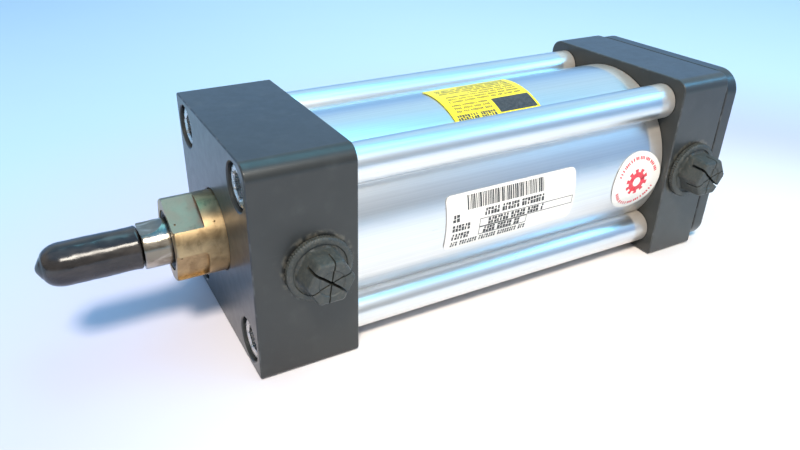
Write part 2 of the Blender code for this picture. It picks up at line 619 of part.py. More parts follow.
def make_clevis():
    plate = prism(rounded_square(HALF, [PLATE_CORNER] * 4, 6), PLATE_START, PLATE_END)
    bracket = place("clevis_bracket", plate, "anodised_black")
    for side in (-1, 1):
        near = side * CLEVIS_GAP / 2
        far = side * (CLEVIS_GAP / 2 + CLEVIS_EAR)
        eye = arc((PIN_X, 0), CLEVIS_ROUND, radians(80), radians(-80), 12)
        outline = [(PLATE_END - 0.002, -EAR_ROOT), (PLATE_END - 0.002, EAR_ROOT)] + eye
        tool = place(f"tool_ear_{side + 1}", prism(outline, near, far, "Z"))
        combine(bracket, tool, "UNION")
    top = PLATE_END - FLAT_HEAD_SUNK
    hole = [(PLATE_START - 0.001, 0), (PLATE_START - 0.001, SCREW_R + FIT),
            (top - FLAT_HEAD, SCREW_R + FIT), (top - 0.0006, FLAT_HEAD_R + FIT),
            (PLATE_END + 0.001, FLAT_HEAD_R + FIT), (PLATE_END + 0.001, 0)]
    for number, y, z in corners():
        tool = place(f"cut_plate_screw_{number}", lathe(hole, HOLE), at=(0, y, AXIS_Z + z))
        combine(bracket, tool)
    bore = upright(lathe(rod_profile(-0.03, 0.03, CLEVIS_PIN_R + FIT), MID))
    combine(bracket, place("cut_pin_bore", bore, at=(PIN_X, 0, AXIS_Z)))

    groove = CLEVIS_PIN_R - 0.0009
    half = [(PIN_END, 0), (PIN_END, CLEVIS_PIN_R - 0.0008), (PIN_END - 0.0008, CLEVIS_PIN_R),
            (PIN_GROOVE + RING_THICK + FIT, CLEVIS_PIN_R), (PIN_GROOVE + RING_THICK + FIT, groove),
            (PIN_GROOVE, groove), (PIN_GROOVE, CLEVIS_PIN_R)]
    profile = half + [(-x, r) for x, r in reversed(half)]
    center = (PIN_X, 0, AXIS_Z)
    place("clevis_pin", upright(lathe(profile, MID)), "zinc_steel", center)
    for name, down in (("pin_ring_top", False), ("pin_ring_bottom", True)):
        start = PIN_GROOVE + FIT / 2
        ring = lathe(tube_profile(start, start + RING_THICK, groove + FIT, PIN_RING_R), MID)
        made = place(name, upright(ring, down), "dark_steel", center)
        outline = [(-0.0036, 0.001), (0.0036, 0.001), (0.0036, 0.012), (-0.0036, 0.012)]
        mouth = upright(prism(outline, start - 0.001, start + 0.002), down)
        combine(made, place(f"cut_{name}", mouth, at=center))


# ---------------------------------------------------------------- labels
LABEL_INNER = TUBE_R + 0.0002
LABEL_THICK = 0.0002
DATA_LABEL_LENGTH = 0.0580
CAUTION_LABEL_LENGTH = 0.0384
STICKER_R = 0.0127


def wrap_label(name, stations, finish):
    """Thin skin round the tube: stations of (angle from +Z to -Y, lowest x, highest x)."""
    shape = bmesh.new()
    loops = []
    for angle, low, high in stations:
        loop = []
        for x, radius in ((low, LABEL_INNER), (high, LABEL_INNER),
                          (high, LABEL_INNER + LABEL_THICK), (low, LABEL_INNER + LABEL_THICK)):
            loop.append(shape.verts.new((x, -radius * sin(angle), radius * cos(angle))))
        loops.append(loop)
    for first, second in zip(loops, loops[1:]):
        for side in range(4):
            after = (side + 1) % 4
            shape.faces.new((first[side], second[side], second[after], first[after]))
    shape.faces.new(loops[0])
    shape.faces.new(loops[-1])
    place(name, shape, finish)


def make_labels():
    def band(start, end, low, high, steps=8):
        angles = [start + (end - start) * step / steps for step in range(steps + 1)]
        return [(radians(angle), low, high) for angle in angles]

    data_low = FACE_X + 0.0717
    caution_low = FACE_X + 0.0851
    wrap_label("data_label", band(71.7, 107.0, data_low, data_low + DATA_LABEL_LENGTH),
               "label_white")
    wrap_label("caution_label",
               band(-11.0, 31.0, caution_low, caution_low + CAUTION_LABEL_LENGTH),
               "label_yellow")
    middle_x = CAP_START - STICKER_R - 0.0006
    middle = radians(93)
    reach = STICKER_R / TUBE_R
    stations = []
    for step in range(13):
        height = -cos(pi * (step + 0.25) / 12.5)
        half = STICKER_R * sqrt(1 - height ** 2)
        stations.append((middle + reach * height, middle_x - half, middle_x + half))
    wrap_label("round_sticker", stations, "label_white")


def main():
    for old in list(bpy.data.objects):
        bpy.data.objects.remove(old, do_unlink=True)
    make_head()
    make_cap()
    make_body()
    make_screws()
    make_gland()
    make_rod()
    make_piston()
    make_cushions()
    make_body_seals()
    make_needle("head", HEAD_PORT_X, CUSHION_BORE_R)
    make_needle("cap", CAP_PORT_X, CAP_CUSHION_BORE_R)
    make_port_plug("head_port_plug", HEAD_PORT_X)
    make_port_plug("cap_port_plug", CAP_PORT_X)
    make_protector()
    make_clevis()
    make_labels()


main()
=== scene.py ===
# Pneumatic cylinder with a profile body and a rear clevis: the visual model, built round the
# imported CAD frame. Units are metres. +X runs from the rod end to the clevis, the air ports and
# the labels face -Y, +Z is up, and the origin is the middle of the head block's underside.

import random
from math import acos, atan2, ceil, cos, hypot, pi, radians, sin, sqrt, tan, tau

import bmesh
import bpy
from mathutils import Matrix, Vector, noise


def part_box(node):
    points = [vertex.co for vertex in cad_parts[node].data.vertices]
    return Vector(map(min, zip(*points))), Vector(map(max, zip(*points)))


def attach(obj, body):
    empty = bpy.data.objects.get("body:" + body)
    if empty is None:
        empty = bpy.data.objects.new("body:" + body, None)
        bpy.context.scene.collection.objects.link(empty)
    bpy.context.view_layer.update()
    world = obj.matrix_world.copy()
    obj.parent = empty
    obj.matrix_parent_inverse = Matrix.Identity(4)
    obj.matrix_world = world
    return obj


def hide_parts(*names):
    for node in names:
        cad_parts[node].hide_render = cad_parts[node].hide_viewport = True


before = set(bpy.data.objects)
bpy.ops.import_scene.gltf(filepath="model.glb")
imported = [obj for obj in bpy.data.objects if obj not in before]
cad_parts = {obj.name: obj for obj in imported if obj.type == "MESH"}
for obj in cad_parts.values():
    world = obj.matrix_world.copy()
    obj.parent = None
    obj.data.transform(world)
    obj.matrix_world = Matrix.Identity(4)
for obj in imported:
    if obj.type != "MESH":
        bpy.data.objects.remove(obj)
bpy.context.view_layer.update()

# ---- places read from the frame
FIT = 0.0003                      # gap that the CAD leaves between pieces that touch

X, Y, Z = range(3)


def ends(node, axis):
    """Lowest and highest place of a CAD node along an axis."""
    low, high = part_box(node)
    return low[axis], high[axis]


def middle(node, axis):
    """Middle of a CAD node along an axis, and half its width."""
    low, high = ends(node, axis)
    return (low + high) / 2, (high - low) / 2


AXIS_Z, HALF = middle("head", Z)
FACE_X = ends("head", X)[0]
TUBE_START, TUBE_END = ends("body_extrusion", X)
HEAD_END, CAP_START = TUBE_START - FIT, TUBE_END + FIT
CAP_END = ends("cap", X)[1]
SCREW_TOP, CAP_SCREW_TOP = ends("head_screw_1", X)[0], ends("cap_screw_1", X)[1]
PLATE_START, PLATE_END = CAP_END + FIT, CAP_SCREW_TOP + 0.0002
GLAND_FRONT, GLAND_END = ends("rod_gland", X)
GLAND_R, ROD_R = middle("rod_gland", Z)[1], middle("piston_rod", Z)[1]
STUD_TIP = ends("piston_rod", X)[0]
PROTECTOR_TIP, PROTECTOR_END = ends("thread_protector", X)
PROTECTOR_R = middle("thread_protector", Z)[1]
SHOULDER_X = PROTECTOR_END + FIT
PIN_X, PIN_R = middle("clevis_pin", X)
PIN_END = ends("clevis_pin", Z)[1] - AXIS_Z
PIN_RING_R = middle("pin_ring_top", Y)[1]
SCREW_AT = middle("head_screw_1", Y)[0]
SCREW_HEAD_R, FLAT_HEAD_R = middle("head_screw_1", Z)[1], middle("cap_screw_1", Z)[1]
HEAD_PORT_X, PLUG_R = middle("head_port_plug", X)
CAP_PORT_X = middle("cap_port_plug", X)[0]
PLUG_TOP = -ends("head_port_plug", Y)[0]
NEEDLE_R = middle("head_cushion_needle", Z)[1]
NEEDLE_TOP = ends("head_cushion_needle", Y)[1]

# ---- sizes repeated from the CAD
TUBE_R, BORE_R, LOBE_R = 0.0348, 0.03175, 0.0068
PILOT = 0.0045
SCREW_R, SCREW_HEAD, SCREW_SOCKET = 0.0047625, 0.0095, 0.0039688
SCREW_BORE_R, SCREW_HOLE_R = 0.00775, SCREW_R + FIT
FLAT_HEAD, FLAT_SOCKET, FLAT_SOCKET_DEPTH = 0.0052, 0.0027813, 0.0030
SCREW_HOLE_DEPTH = 0.0255
GLAND_FLAT, GLAND_FLAT_END, GLAND_TURN = 0.0121, 0.0065, radians(23)
WIPER_R, WIPER_DEPTH = 0.0104, 0.0036
STUD_R, THREAD_PITCH = 0.0055563, 0.00127
REAR_STUD_R, REAR_STUD_END = 0.00635, CAP_END - 0.0130
ROD_STEP_X = CAP_START - 0.0500
ROD_FLAT, ROD_FLAT_LENGTH = 0.00635, 0.0080
PORT_R, PORT_PITCH = 0.00855, 0.00141
PORT_ROOT = PORT_R - 0.0011
CUSHION_R, CAP_CUSHION_R = 0.012, 0.0102
CUSHION_SEAL_WIDTH = 0.0041
PLUG_FLANGE, PLUG_GRIP_R, PLUG_SLOT_ROLL = 0.0024, 0.0084, radians(50)
CLEVIS_GAP, CLEVIS_EAR, CLEVIS_ROUND, EAR_ROOT = 0.01905, 0.0127, 0.0127, 0.0175
PLATE_CORNER = 0.009
LABEL_IN, LABEL_OUT = TUBE_R + 0.0002, TUBE_R + 0.0004
INK = 0.00002                     # height of print above its label

EDGE = 0.0006                     # broken edges of the blocks
CHAMFER = 0.0004                  # broken edges of the holes
PAST = 0.001                      # how far a cutter reaches past the faces it cuts
ROUND = 128                       # sides of the large turned pieces


# ---- shapes
def lathe(profile, sides=ROUND):
    """Turn a closed profile of (x, radius) points about X. A radius may be a rule of the angle."""
    shape = bmesh.new()
    rings = []
    for x, radius in profile:
        if radius == 0:
            rings.append([shape.verts.new((x, 0, 0))] * sides)
            continue
        ring = []
        for step in range(sides):
            angle = tau * step / sides
            r = radius(angle) if callable(radius) else radius
            ring.append(shape.verts.new((x, r * sin(angle), r * cos(angle))))
        rings.append(ring)
    for index, ring in enumerate(rings):
        following = rings[(index + 1) % len(rings)]
        for step in range(sides):
            after = (step + 1) % sides
            corners = dict.fromkeys((ring[step], following[step], following[after], ring[after]))
            if len(corners) > 2:
                shape.faces.new(corners)
    return shape


def soften(profile, radius, steps=4):
    """Round the corners of a closed profile that lie off the axis; (a, b, r) sets its own r."""
    points = []
    for index, point in enumerate(profile):
        here = Vector(point[:2])
        back = Vector(profile[index - 1][:2]) - here
        ahead = Vector(profile[(index + 1) % len(profile)][:2]) - here
        wanted = point[2] if len(point) > 2 else radius
        turn = pi - back.angle(ahead)
        if here.y == 0 or wanted == 0 or turn < radians(12):
            points.append(tuple(here))
            continue
        trim = min(wanted * tan(turn / 2), back.length * 0.45, ahead.length * 0.45)
        first = here + back.normalized() * trim
        last = here + ahead.normalized() * trim
        for step in range(steps + 1):
            t = step / steps
            points.append(tuple(first * (1 - t) ** 2 + here * 2 * t * (1 - t) + last * t ** 2))
    return points


def hexagon(to_flat):
    """Radius rule of a hexagon, from its axis to a flat."""
    def rule(angle):
        return to_flat / cos((angle + pi / 6) % (pi / 3) - pi / 6)
    return rule


def ribbed(radius, depth, ribs, sharpness=1.0):
    """Radius rule of straight ribs round a rim."""
    def rule(angle):
        return radius - depth * abs(sin(angle * ribs / 2)) ** sharpness
    return rule


def arc(center, radius, start, end, steps):
    """Points on an arc, angles in radians from the first axis."""
    turns = [start + (end - start) * step / steps for step in range(steps + 1)]
    return [(center[0] + radius * cos(t), center[1] + radius * sin(t)) for t in turns]


def rounded_square(half, radii, steps=10):
    """Square outline about the axis; radii go anticlockwise from the +Y +Z corner."""
    outline = []
    for corner, radius in enumerate(radii):
        start = corner * pi / 2
        reach = (half - radius) * sqrt(2)
        center = (reach * cos(start + pi / 4), reach * sin(start + pi / 4))
        outline += arc(center, radius, start, start + pi / 2, steps)
    return outline


def inset(outline, distance):
    """An anticlockwise outline moved inwards."""
    moved = []
    for index, point in enumerate(outline):
        here = Vector(point)
        into = (here - Vector(outline[index - 1])).normalized()
        out = (Vector(outline[(index + 1) % len(outline)]) - here).normalized()
        first, second = Vector((-into.y, into.x)), Vector((-out.y, out.x))
        moved.append(here + (first + second) * distance / (1 + first.dot(second)))
    return moved


def loft(loops, shape=None):
    """Join loops of equally many points into a closed solid, in a new bmesh or a given one."""
    if shape is None:
        shape = bmesh.new()
    rings = [[shape.verts.new(point) for point in loop] for loop in loops]
    shape.faces.new(rings[0])
    shape.faces.new(rings[-1])
    for ring, following in zip(rings, rings[1:]):
        for step in range(len(ring)):
            after = (step + 1) % len(ring)
            shape.faces.new((ring[step], following[step], following[after], ring[after]))
    return shape


def bar(outline, start, end, edge=0.0, along="X", steps=4):
    """Extrude an anticlockwise outline of (a, b) points along an axis, its end edges rounded."""
    turns = [pi / 2 * step / steps for step in range(steps + 1)] if edge else [pi / 2]
    stations = [(start + edge * (1 - cos(t)), edge * (1 - sin(t))) for t in turns]
    stations += [(end - edge * (1 - cos(t)), edge * (1 - sin(t))) for t in reversed(turns)]
    order = {"X": (2, 0, 1), "Y": (0, 2, 1), "Z": (0, 1, 2)}[along]
    loops = []
    for place, distance in stations:
        points = inset(outline, distance) if distance else outline
        loops.append([[(a, b, place)[axis] for axis in order] for a, b in points])
    return loft(loops)


def solid(name, shape, at=(0, 0, AXIS_Z), turn=0.0, roll=0.0, pitch=0.0):
    """Object at the origin of a bmesh that is rolled about X, pitched about Y, turned about Z."""
    placed = Matrix.Translation(at) @ Matrix.Rotation(turn, 4, "Z")
    placed = placed @ Matrix.Rotation(pitch, 4, "Y") @ Matrix.Rotation(roll, 4, "X")
    bmesh.ops.transform(shape, matrix=placed, verts=shape.verts)
    bmesh.ops.remove_doubles(shape, verts=shape.verts, dist=1e-7)
    bmesh.ops.recalc_face_normals(shape, faces=shape.faces)
    mesh = bpy.data.meshes.new(name)
    shape.to_mesh(mesh)
    shape.free()
    made = bpy.data.objects.new(name, mesh)
    bpy.context.scene.collection.objects.link(made)
    return made


def carve(target, tools, operation="DIFFERENCE"):
    """Cut the tools out of the target, or join them on, and drop them."""
    for tool in tools:
        change = target.modifiers.new(tool.name, "BOOLEAN")
        change.operation, change.solver, change.object = operation, "EXACT", tool
    shown = target.evaluated_get(bpy.context.evaluated_depsgraph_get())
    mesh = bpy.data.meshes.new_from_object(shown)
    target.modifiers.clear()
    target.data = mesh
    mesh.name = target.name
    for tool in tools:
        bpy.data.objects.remove(tool, do_unlink=True)
    return target


def join(target, other):
    """Put the other object's mesh into the target's mesh."""
    shape = bmesh.new()
    for each in (target, other):
        shape.from_mesh(each.data)
    shape.to_mesh(target.data)
    shape.free()
    bpy.data.objects.remove(other, do_unlink=True)


def adopt(made, body, finish, look, *nodes, sharp=32):
    """Shade a finished piece, give it its material, and let it stand for CAD nodes on a body."""
    mesh = made.data
    mesh.materials.clear()
    for each in look if isinstance(look, tuple) else (look,):
        mesh.materials.append(each)
    mesh.shade_smooth()
    mesh.set_sharp_from_angle(angle=radians(sharp))
    made.modifiers.new("even_normals", "WEIGHTED_NORMAL").keep_sharp = True
    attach(made, body)
    if nodes:
        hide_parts(*nodes)
    return made


def corners():
    """The four screw places as (number, y, z), anticlockwise from +Y +Z."""
    signs = ((1, 1), (-1, 1), (-1, -1), (1, -1))
    return [(n + 1, y * SCREW_AT, z * SCREW_AT) for n, (y, z) in enumerate(signs)]


def corner_tools(profile, sides):
    """The same turned cutter at each of the four screw places."""
    return [solid(f"tool_{n}", lathe(profile, sides), (0, y, AXIS_Z + z)) for n, y, z in corners()]


def plain_hole(start, end, radius):
    """Profile of a straight drill."""
    return [(start, 0), (start, radius), (end, radius), (end, 0)]


def notch(start, end, rim, floor):
    """Profile points of a square groove."""
    return [(start, rim), (start, floor), (end, floor), (end, rim)]


# ---- materials
def add_node(tree, kind, sockets=(), **settings):
    """Shader node with its settings; its sockets take values or other nodes' outputs."""
    made = tree.nodes.new("ShaderNode" + kind)
    for key, value in settings.items():
        setattr(made, key, value)
    for key, value in dict(sockets).items():
        feed(tree, made.inputs[key], value)
    return made


def feed(tree, socket, value):
    """Link an input to an output, or give it a value."""
    if isinstance(value, bpy.types.NodeSocket):
        tree.links.new(value, socket)
    else:
        socket.default_value = value


class Look:
    """One Principled material, built of nodes. Patterns follow the piece's own coordinates."""

    def __init__(self, name, color, roughness, metallic=0.0, **sockets):
        self.material = bpy.data.materials.new(name)
        self.material.use_nodes = True
        self.tree = self.material.node_tree
        self.shader = self.tree.nodes["Principled BSDF"]
        sockets.update(Base_Color=(*color, 1), Roughness=roughness, Metallic=metallic)
        for socket, value in sockets.items():
            self.set(socket.replace("_", " "), value)
        self.where = self.node("TexCoord").outputs["Object"]
        self.tone = self.normal = None

    def node(self, kind, sockets=(), **settings):
        return add_node(self.tree, kind, sockets, **settings)

    def set(self, socket, value):
        feed(self.tree, self.shader.inputs[socket], value)

    def along(self, axis):
        """Place along an axis of the piece."""
        return self.node("SeparateXYZ", {0: self.where}).outputs[axis]

    def scaled(self, scale):
        return self.node("Mapping", {"Vector": self.where, "Scale": scale}).outputs[0]

    def grain(self, scale, detail=3.0, roughness=0.55, distortion=0.0):
        """Noise from 0 to 1; scale is features per metre along each axis, or on all three."""
        if not isinstance(scale, tuple):
            scale = (scale, scale, scale)
        sockets = {"Vector": self.scaled(scale), "Scale": 1.0, "Detail": detail,
                   "Roughness": roughness, "Distortion": distortion}
        return self.node("TexNoise", sockets).outputs["Fac"]

    def patches(self, low, high, *grain):
        """Patches of grain: 0 where it is below low, 1 where it is above high."""
        return self.curve(self.grain(*grain), low, high)

    def specks(self, scale, low, high):
        """Round specks at scattered points, from their rim to where they are full, in cells."""
        sockets = {"Vector": self.scaled((scale,) * 3), "Scale": 1.0}
        return self.curve(self.node("TexVoronoi", sockets).outputs["Distance"], low, high)

    def curve(self, value, low, high, start=0.0, end=1.0):
        """Smooth step of a value between low and high, from start to end."""
        sockets = {"Value": value, "From Min": low, "From Max": high, "To Min": start,
                   "To Max": end}
        return self.node("MapRange", sockets, interpolation_type="SMOOTHSTEP").outputs["Result"]

    def times(self, *values):
        result = values[0]
        for value in values[1:]:
            result = self.most(result, value, "MULTIPLY")
        return result

    def most(self, first, second, operation="MAXIMUM"):
        return self.node("Math", {0: first, 1: second}, operation=operation).outputs[0]

    def vector(self, operation, *vectors):
        sockets = dict(enumerate(vectors))
        made = self.node("VectorMath", sockets, operation=operation)
        return made.outputs["Value" if operation == "DISTANCE" else "Vector"]

    def mix(self, amount, first, second):
        """Colour between two colours, given as (r, g, b) or as a socket."""
        first, second = ((*c, 1) if isinstance(c, tuple) else c for c in (first, second))
        return self.node("Mix", {0: amount, 6: first, 7: second}, data_type="RGBA").outputs[2]

    def mottle(self, amount, dark, light):
        """Start the colour as a mixture of two."""
        self.tone = self.mix(amount, dark, light)

    def over(self, color, *masks):
        """Lay another colour over it, as much as the masks multiplied together."""
        self.tone = self.mix(self.times(*masks), self.tone, color)

    def relief(self, height, depth):
        """Bump of a depth in metres; further calls add to it."""
        sockets = {"Height": height, "Distance": depth, "Strength": 1.0}
        if self.normal:
            sockets["Normal"] = self.normal
        self.normal = self.node("Bump", sockets).outputs["Normal"]
        self.set("Normal", self.normal)

    def finish(self, pattern, smooth, dull, *reliefs):
        """Set the colour, the roughness by a pattern and the reliefs; give the material."""
        self.set("Base Color", self.tone)
        self.set("Roughness", self.curve(pattern, 0.3, 0.7, smooth, dull))
        for height, depth in reliefs:
            self.relief(height, depth)
        return self.material

    def box_edges(self, low, high, width):
        """1 on the edges of a box, falling to 0 over a width."""
        away = self.vector("ABSOLUTE", self.vector("SUBTRACT", self.where, (low + high) / 2))
        inside = self.vector("SUBTRACT", (high - low) / 2, away)
        x, y, z = self.node("SeparateXYZ", {0: inside}).outputs
        small, large = self.most(x, y, "MINIMUM"), self.most(x, y)
        second = self.most(small, self.most(large, z, "MINIMUM"))
        return self.curve(second, 0.0, width, 1.0, 0.0)


def anodised_look(name, start, end, tint=1.0):
    """Black anodised block: fine matt grain, cloudy sheen, thin scratches, wear at its edges,
    and dust in a ring round the plug of its port."""
    dark = tuple(c * tint for c in (0.0195, 0.0215, 0.0215))
    light = tuple(c * tint for c in (0.0240, 0.0262, 0.0262))
    look = Look(name, light, 0.4, 0.15, Coat_Weight=0.28, Coat_Roughness=0.17)
    look.mottle(look.patches(0.3, 0.7, 55, 4), dark, light)
    scratches = look.most(look.patches(0.735, 0.76, (30, 2600, 900), 2, 0.4, 0.4),
                          look.patches(0.76, 0.79, (1800, 40, 260), 2, 0.4, 0.6))
    look.over((0.15, 0.165, 0.175), 0.40, scratches, look.patches(0.52, 0.66, 38, 2))
    edges = look.box_edges(Vector((start, -HALF, 0)), Vector((end, HALF, 2 * HALF)), 0.0007)
    look.over((0.22, 0.24, 0.25), 0.32, edges, look.patches(0.50, 0.68, 260, 3))
    look.over((0.22, 0.23, 0.22), 0.05, look.patches(0.50, 0.80, 160, 5))
    port = (HEAD_PORT_X if start == FACE_X else CAP_PORT_X, 0, AXIS_Z + 0.0003)
    away = look.vector("DISTANCE", look.vector("MULTIPLY", look.where, (1, 0, 1)), port)
    look.over((0.16, 0.15, 0.12), 0.55, look.curve(away, PLUG_R + 0.0018, PLUG_R + 0.0002),
              look.curve(away, PLUG_R - 0.0012, PLUG_R - 0.0002),
              look.curve(look.along(Y), 0.002 - HALF, 0.001 - HALF),
              look.patches(0.42, 0.62, 420, 4))
    return look.finish(look.grain(230, 4), 0.37, 0.42, (look.grain(5200, 2), 0.000010),
                       (look.grain((500, 6500, 500), 2), 0.000006))


def tube_look():
    """Drawn aluminium, clear anodised: die lines along the tube, a few short scuffs, and a warm
    band at the cap end that is a painted reflection of the cap.
    """
    look = Look("drawn_aluminium", (0.8, 0.82, 0.85), 0.3, 1.0)
    streak = look.grain((2.5, 1500, 1500), 3, 0.6)
    look.mottle(look.curve(streak, 0.3, 0.7), (0.75, 0.755, 0.76), (0.81, 0.815, 0.82))
    look.over((0.30, 0.31, 0.33), 0.75, look.patches(0.57, 0.66, 34, 2),
              look.patches(0.72, 0.76, (140, 2400, 2400), 2, 0.5, 0.3))
    look.over((0.62, 0.63, 0.63), 0.14, look.patches(0.55, 0.75, (16, 90, 90), 4))
    # Painted reflection: a warm beige band with less metal over the last few millimetres before the
    # cap stands for the cap's face mirrored in the tube.
    end = look.curve(look.along(X), CAP_START - 0.0085, CAP_START - 0.0055)
    look.over((0.50, 0.455, 0.40), 0.75, end)
    look.set("Metallic", look.curve(end, 0.0, 1.0, 1.0, 0.6))
    return look.finish(look.grain((1.2, 210, 210), 2), 0.29, 0.34, (streak, 0.0000012),
                       (look.grain((300, 2600, 2600), 2), 0.0000008))


def bronze_look(name, dark, light, stain):
    """Bearing bronze: fine tool rings, tarnish in patches and brighter rubbed spots."""
    look = Look(name, light, 0.33, 1.0)
    cloud = look.grain(170, 5, 0.6, 0.6)
    look.mottle(look.curve(cloud, 0.30, 0.68), dark, light)
    look.over(stain, 0.55, look.patches(0.58, 0.74, 420, 4, 0.6))
    return look.finish(cloud, 0.33, 0.47, (look.grain((5200, 35, 35), 2), 0.000005),
                       (look.grain(650, 3), 0.000007))


def chrome_look():
    """Hard chrome on a ground rod: the faintest grinding rings, a warm tint that is painted
    reflection, and painted shade in dark brown patches where it stands out of the gland.
    """
    # The warm base colour of the chrome is a painted warm reflection.
    chrome = (0.54, 0.49, 0.42)
    look = Look("hard_chrome", chrome, 0.1, 1.0)
    # Painted shade and reflection: dark brown patches over the rod outside the gland make it darker
    # and browner there.
    painted_shade_patches = look.patches(0.36, 0.60, (70, 160, 160), 4, 0.6, 0.5)
    painted_shade_outside_gland = look.curve(look.along(X), GLAND_FRONT, GLAND_FRONT + 0.004, 0.85, 0.10)
    look.mottle(look.times(painted_shade_patches, painted_shade_outside_gland), chrome, (0.19, 0.16, 0.12))
    return look.finish(look.grain(300, 4), 0.13, 0.26, (look.grain((6200, 60, 60), 2), 0.0000012),
                       (look.grain(420, 2), 0.000004))


def steel_look(name, light, dark, smooth, dull):
    """Plated or blackened steel: mottled plating with dull spots."""
    look = Look(name, light, smooth, 1.0)
    cloud = look.grain(900, 4, 0.6)
    look.mottle(look.curve(cloud, 0.35, 0.66), light, dark)
    look.over(tuple(c * 0.4 for c in dark), 0.5, look.patches(0.66, 0.74, 2600, 2))
    return look.finish(cloud, smooth, dull, (look.grain(2200, 3), 0.000006))


def vinyl_look():
    """Dipped vinyl: glossy black, faintly uneven, with light dust."""
    look = Look("dipped_vinyl", (0.022, 0.020, 0.020), 0.25, 0.0, IOR=1.52)
    cloud = look.grain((120, 260, 260), 4)
    look.mottle(look.curve(cloud, 0.35, 0.7), (0.016, 0.014, 0.014), (0.036, 0.031, 0.029))
    look.over((0.16, 0.16, 0.16), 0.35, look.specks(1500, 0.10, 0.04),
              look.patches(0.50, 0.60, 500, 2))
    return look.finish(cloud, 0.13, 0.25, (look.grain(260, 3), 0.00003),
                       (look.grain(1500, 3), 0.000010))


def plastic_look(name, dark, light, dust, low, high, crevice=0.0):
    """Moulded plastic or rubber with fine texture; dust lies in it, thicker in crevices."""
    look = Look(name, dark, low)
    cloud = look.grain(380, 4)
    look.mottle(look.curve(cloud, 0.35, 0.65), dark, light)
    powder = look.patches(0.44, 0.72, 900, 5, 0.65)
    if crevice:
        open_sky = look.node("AmbientOcclusion", {"Distance": crevice}, samples=8).outputs["AO"]
        buried = look.curve(open_sky, 0.85, 0.35)
        powder = look.most(look.times(powder, 0.45), look.times(buried, powder))
    look.over(dust, 0.8, powder)
    return look.finish(cloud, low, high, (look.grain(3600, 3), 0.000012))


def paper_look(name, light, shade):
    """Film label: almost plain, with a slight mottle, specks and a satin sheen."""
    look = Look(name, light, 0.38, 0.0, Coat_Weight=0.25, Coat_Roughness=0.22)
    cloud = look.grain((60, 140, 140), 4)
    look.mottle(look.curve(cloud, 0.35, 0.7), light, shade)
    look.over(tuple(c * 0.35 for c in shade), 0.4, look.specks(420, 0.075, 0.04),
              look.patches(0.54, 0.60, 90, 2))
    return look.finish(cloud, 0.32, 0.46, (look.grain(700, 3), 0.000008))


def ink_look(name, dark, light):
    """Printed ink, a little uneven."""
    look = Look(name, dark, 0.42)
    patch = look.patches(0.40, 0.72, 1500, 4)
    look.mottle(patch, dark, light)
    return look.finish(patch, 0.36, 0.52, (look.grain(2500, 2), 0.000002))


BLACK_HEAD = anodised_look("anodised_head", FACE_X, HEAD_END)
BLACK_CAP = anodised_look("anodised_cap", CAP_START, CAP_END, 1.5)
BLACK_PLATE = anodised_look("anodised_clevis", PLATE_START, PLATE_END)
TUBE = tube_look()
BRONZE = bronze_look("turned_bronze", (0.31, 0.215, 0.115), (0.53, 0.385, 0.215),
                     (0.19, 0.135, 0.07))
MILLED_BRONZE = bronze_look("milled_bronze", (0.40, 0.22, 0.145), (0.50, 0.27, 0.18),
                            (0.26, 0.16, 0.10))
CHROME = chrome_look()
ZINC = steel_look("bright_zinc_steel", (0.68, 0.68, 0.665), (0.54, 0.54, 0.53), 0.22, 0.34)
DARK_STEEL = steel_look("black_oxide_steel", (0.17, 0.17, 0.18), (0.09, 0.09, 0.10), 0.34, 0.50)
ALUMINIUM = steel_look("machined_aluminium", (0.66, 0.67, 0.68), (0.52, 0.53, 0.54), 0.36, 0.50)
VINYL = vinyl_look()
PLUG_PLASTIC = plastic_look("dusty_plug_plastic", (0.033, 0.038, 0.037), (0.042, 0.048, 0.046),
                            (0.13, 0.12, 0.095), 0.42, 0.60, 0.003)
NITRILE = plastic_look("nitrile_rubber", (0.016, 0.016, 0.016), (0.026, 0.026, 0.026),
                       (0.07, 0.07, 0.07), 0.50, 0.68)
URETHANE = plastic_look("urethane_seal", (0.34, 0.26, 0.12), (0.46, 0.36, 0.17),
                        (0.40, 0.34, 0.22), 0.36, 0.52)
ACETAL = plastic_look("acetal_wear_ring", (0.76, 0.74, 0.66), (0.84, 0.82, 0.75),
                      (0.70, 0.68, 0.62), 0.42, 0.56)
WHITE_FILM = paper_look("white_film", (0.88, 0.85, 0.80), (0.80, 0.775, 0.73))
YELLOW_FILM = paper_look("yellow_film", (0.93, 0.76, 0.008), (0.84, 0.68, 0.012))
BLACK_INK = ink_look("black_ink", (0.022, 0.023, 0.026), (0.075, 0.076, 0.082))
RED_INK = ink_look("red_ink", (0.66, 0.035, 0.060), (0.74, 0.080, 0.105))


# ---- head and cap
OUT_PORT_SIDE, OUT_FAR_SIDE = -pi / 2, pi / 2     # turns that carry local +X out of a side


def port_tool(x, inner):
    """Tapped port: chamfered mouth, thread grooves and a bore into the cushion chamber."""
    drill, floor, mouth = PORT_R - 0.0022, HALF - 0.0160, HALF - 0.0014
    profile = [(inner * 0.6, 0), (inner * 0.6, drill), (floor, drill), (floor, PORT_ROOT)]
    for turn in range(9):
        low = HALF - 0.0150 + turn * PORT_PITCH
        profile += [(low, PORT_ROOT), (low + PORT_PITCH * 0.45, PORT_R),
                    (low + PORT_PITCH * 0.55, PORT_R)]
    profile += [(mouth, PORT_ROOT), (mouth + 0.0004, PORT_R), (HALF + PAST, PORT_R + 0.0020),
                (HALF + PAST, 0)]
    return solid("tool_port", lathe(profile, 64), (x, 0, AXIS_Z), OUT_PORT_SIDE)


def needle_tool(x, inner):
    """Stepped hole for the cushion needle, open on the far side."""
    hole, drill, floor = NEEDLE_R + 0.0006, 0.0012, 0.0215
    profile = [(inner * 0.8, 0), (inner * 0.8, drill), (floor, drill), (floor, hole),
               (HALF - 0.0014, hole), (HALF + PAST, hole + 0.0012), (HALF + PAST, 0)]
    return solid("tool_needle", lathe(profile, 48), (x, 0, AXIS_Z), OUT_FAR_SIDE)


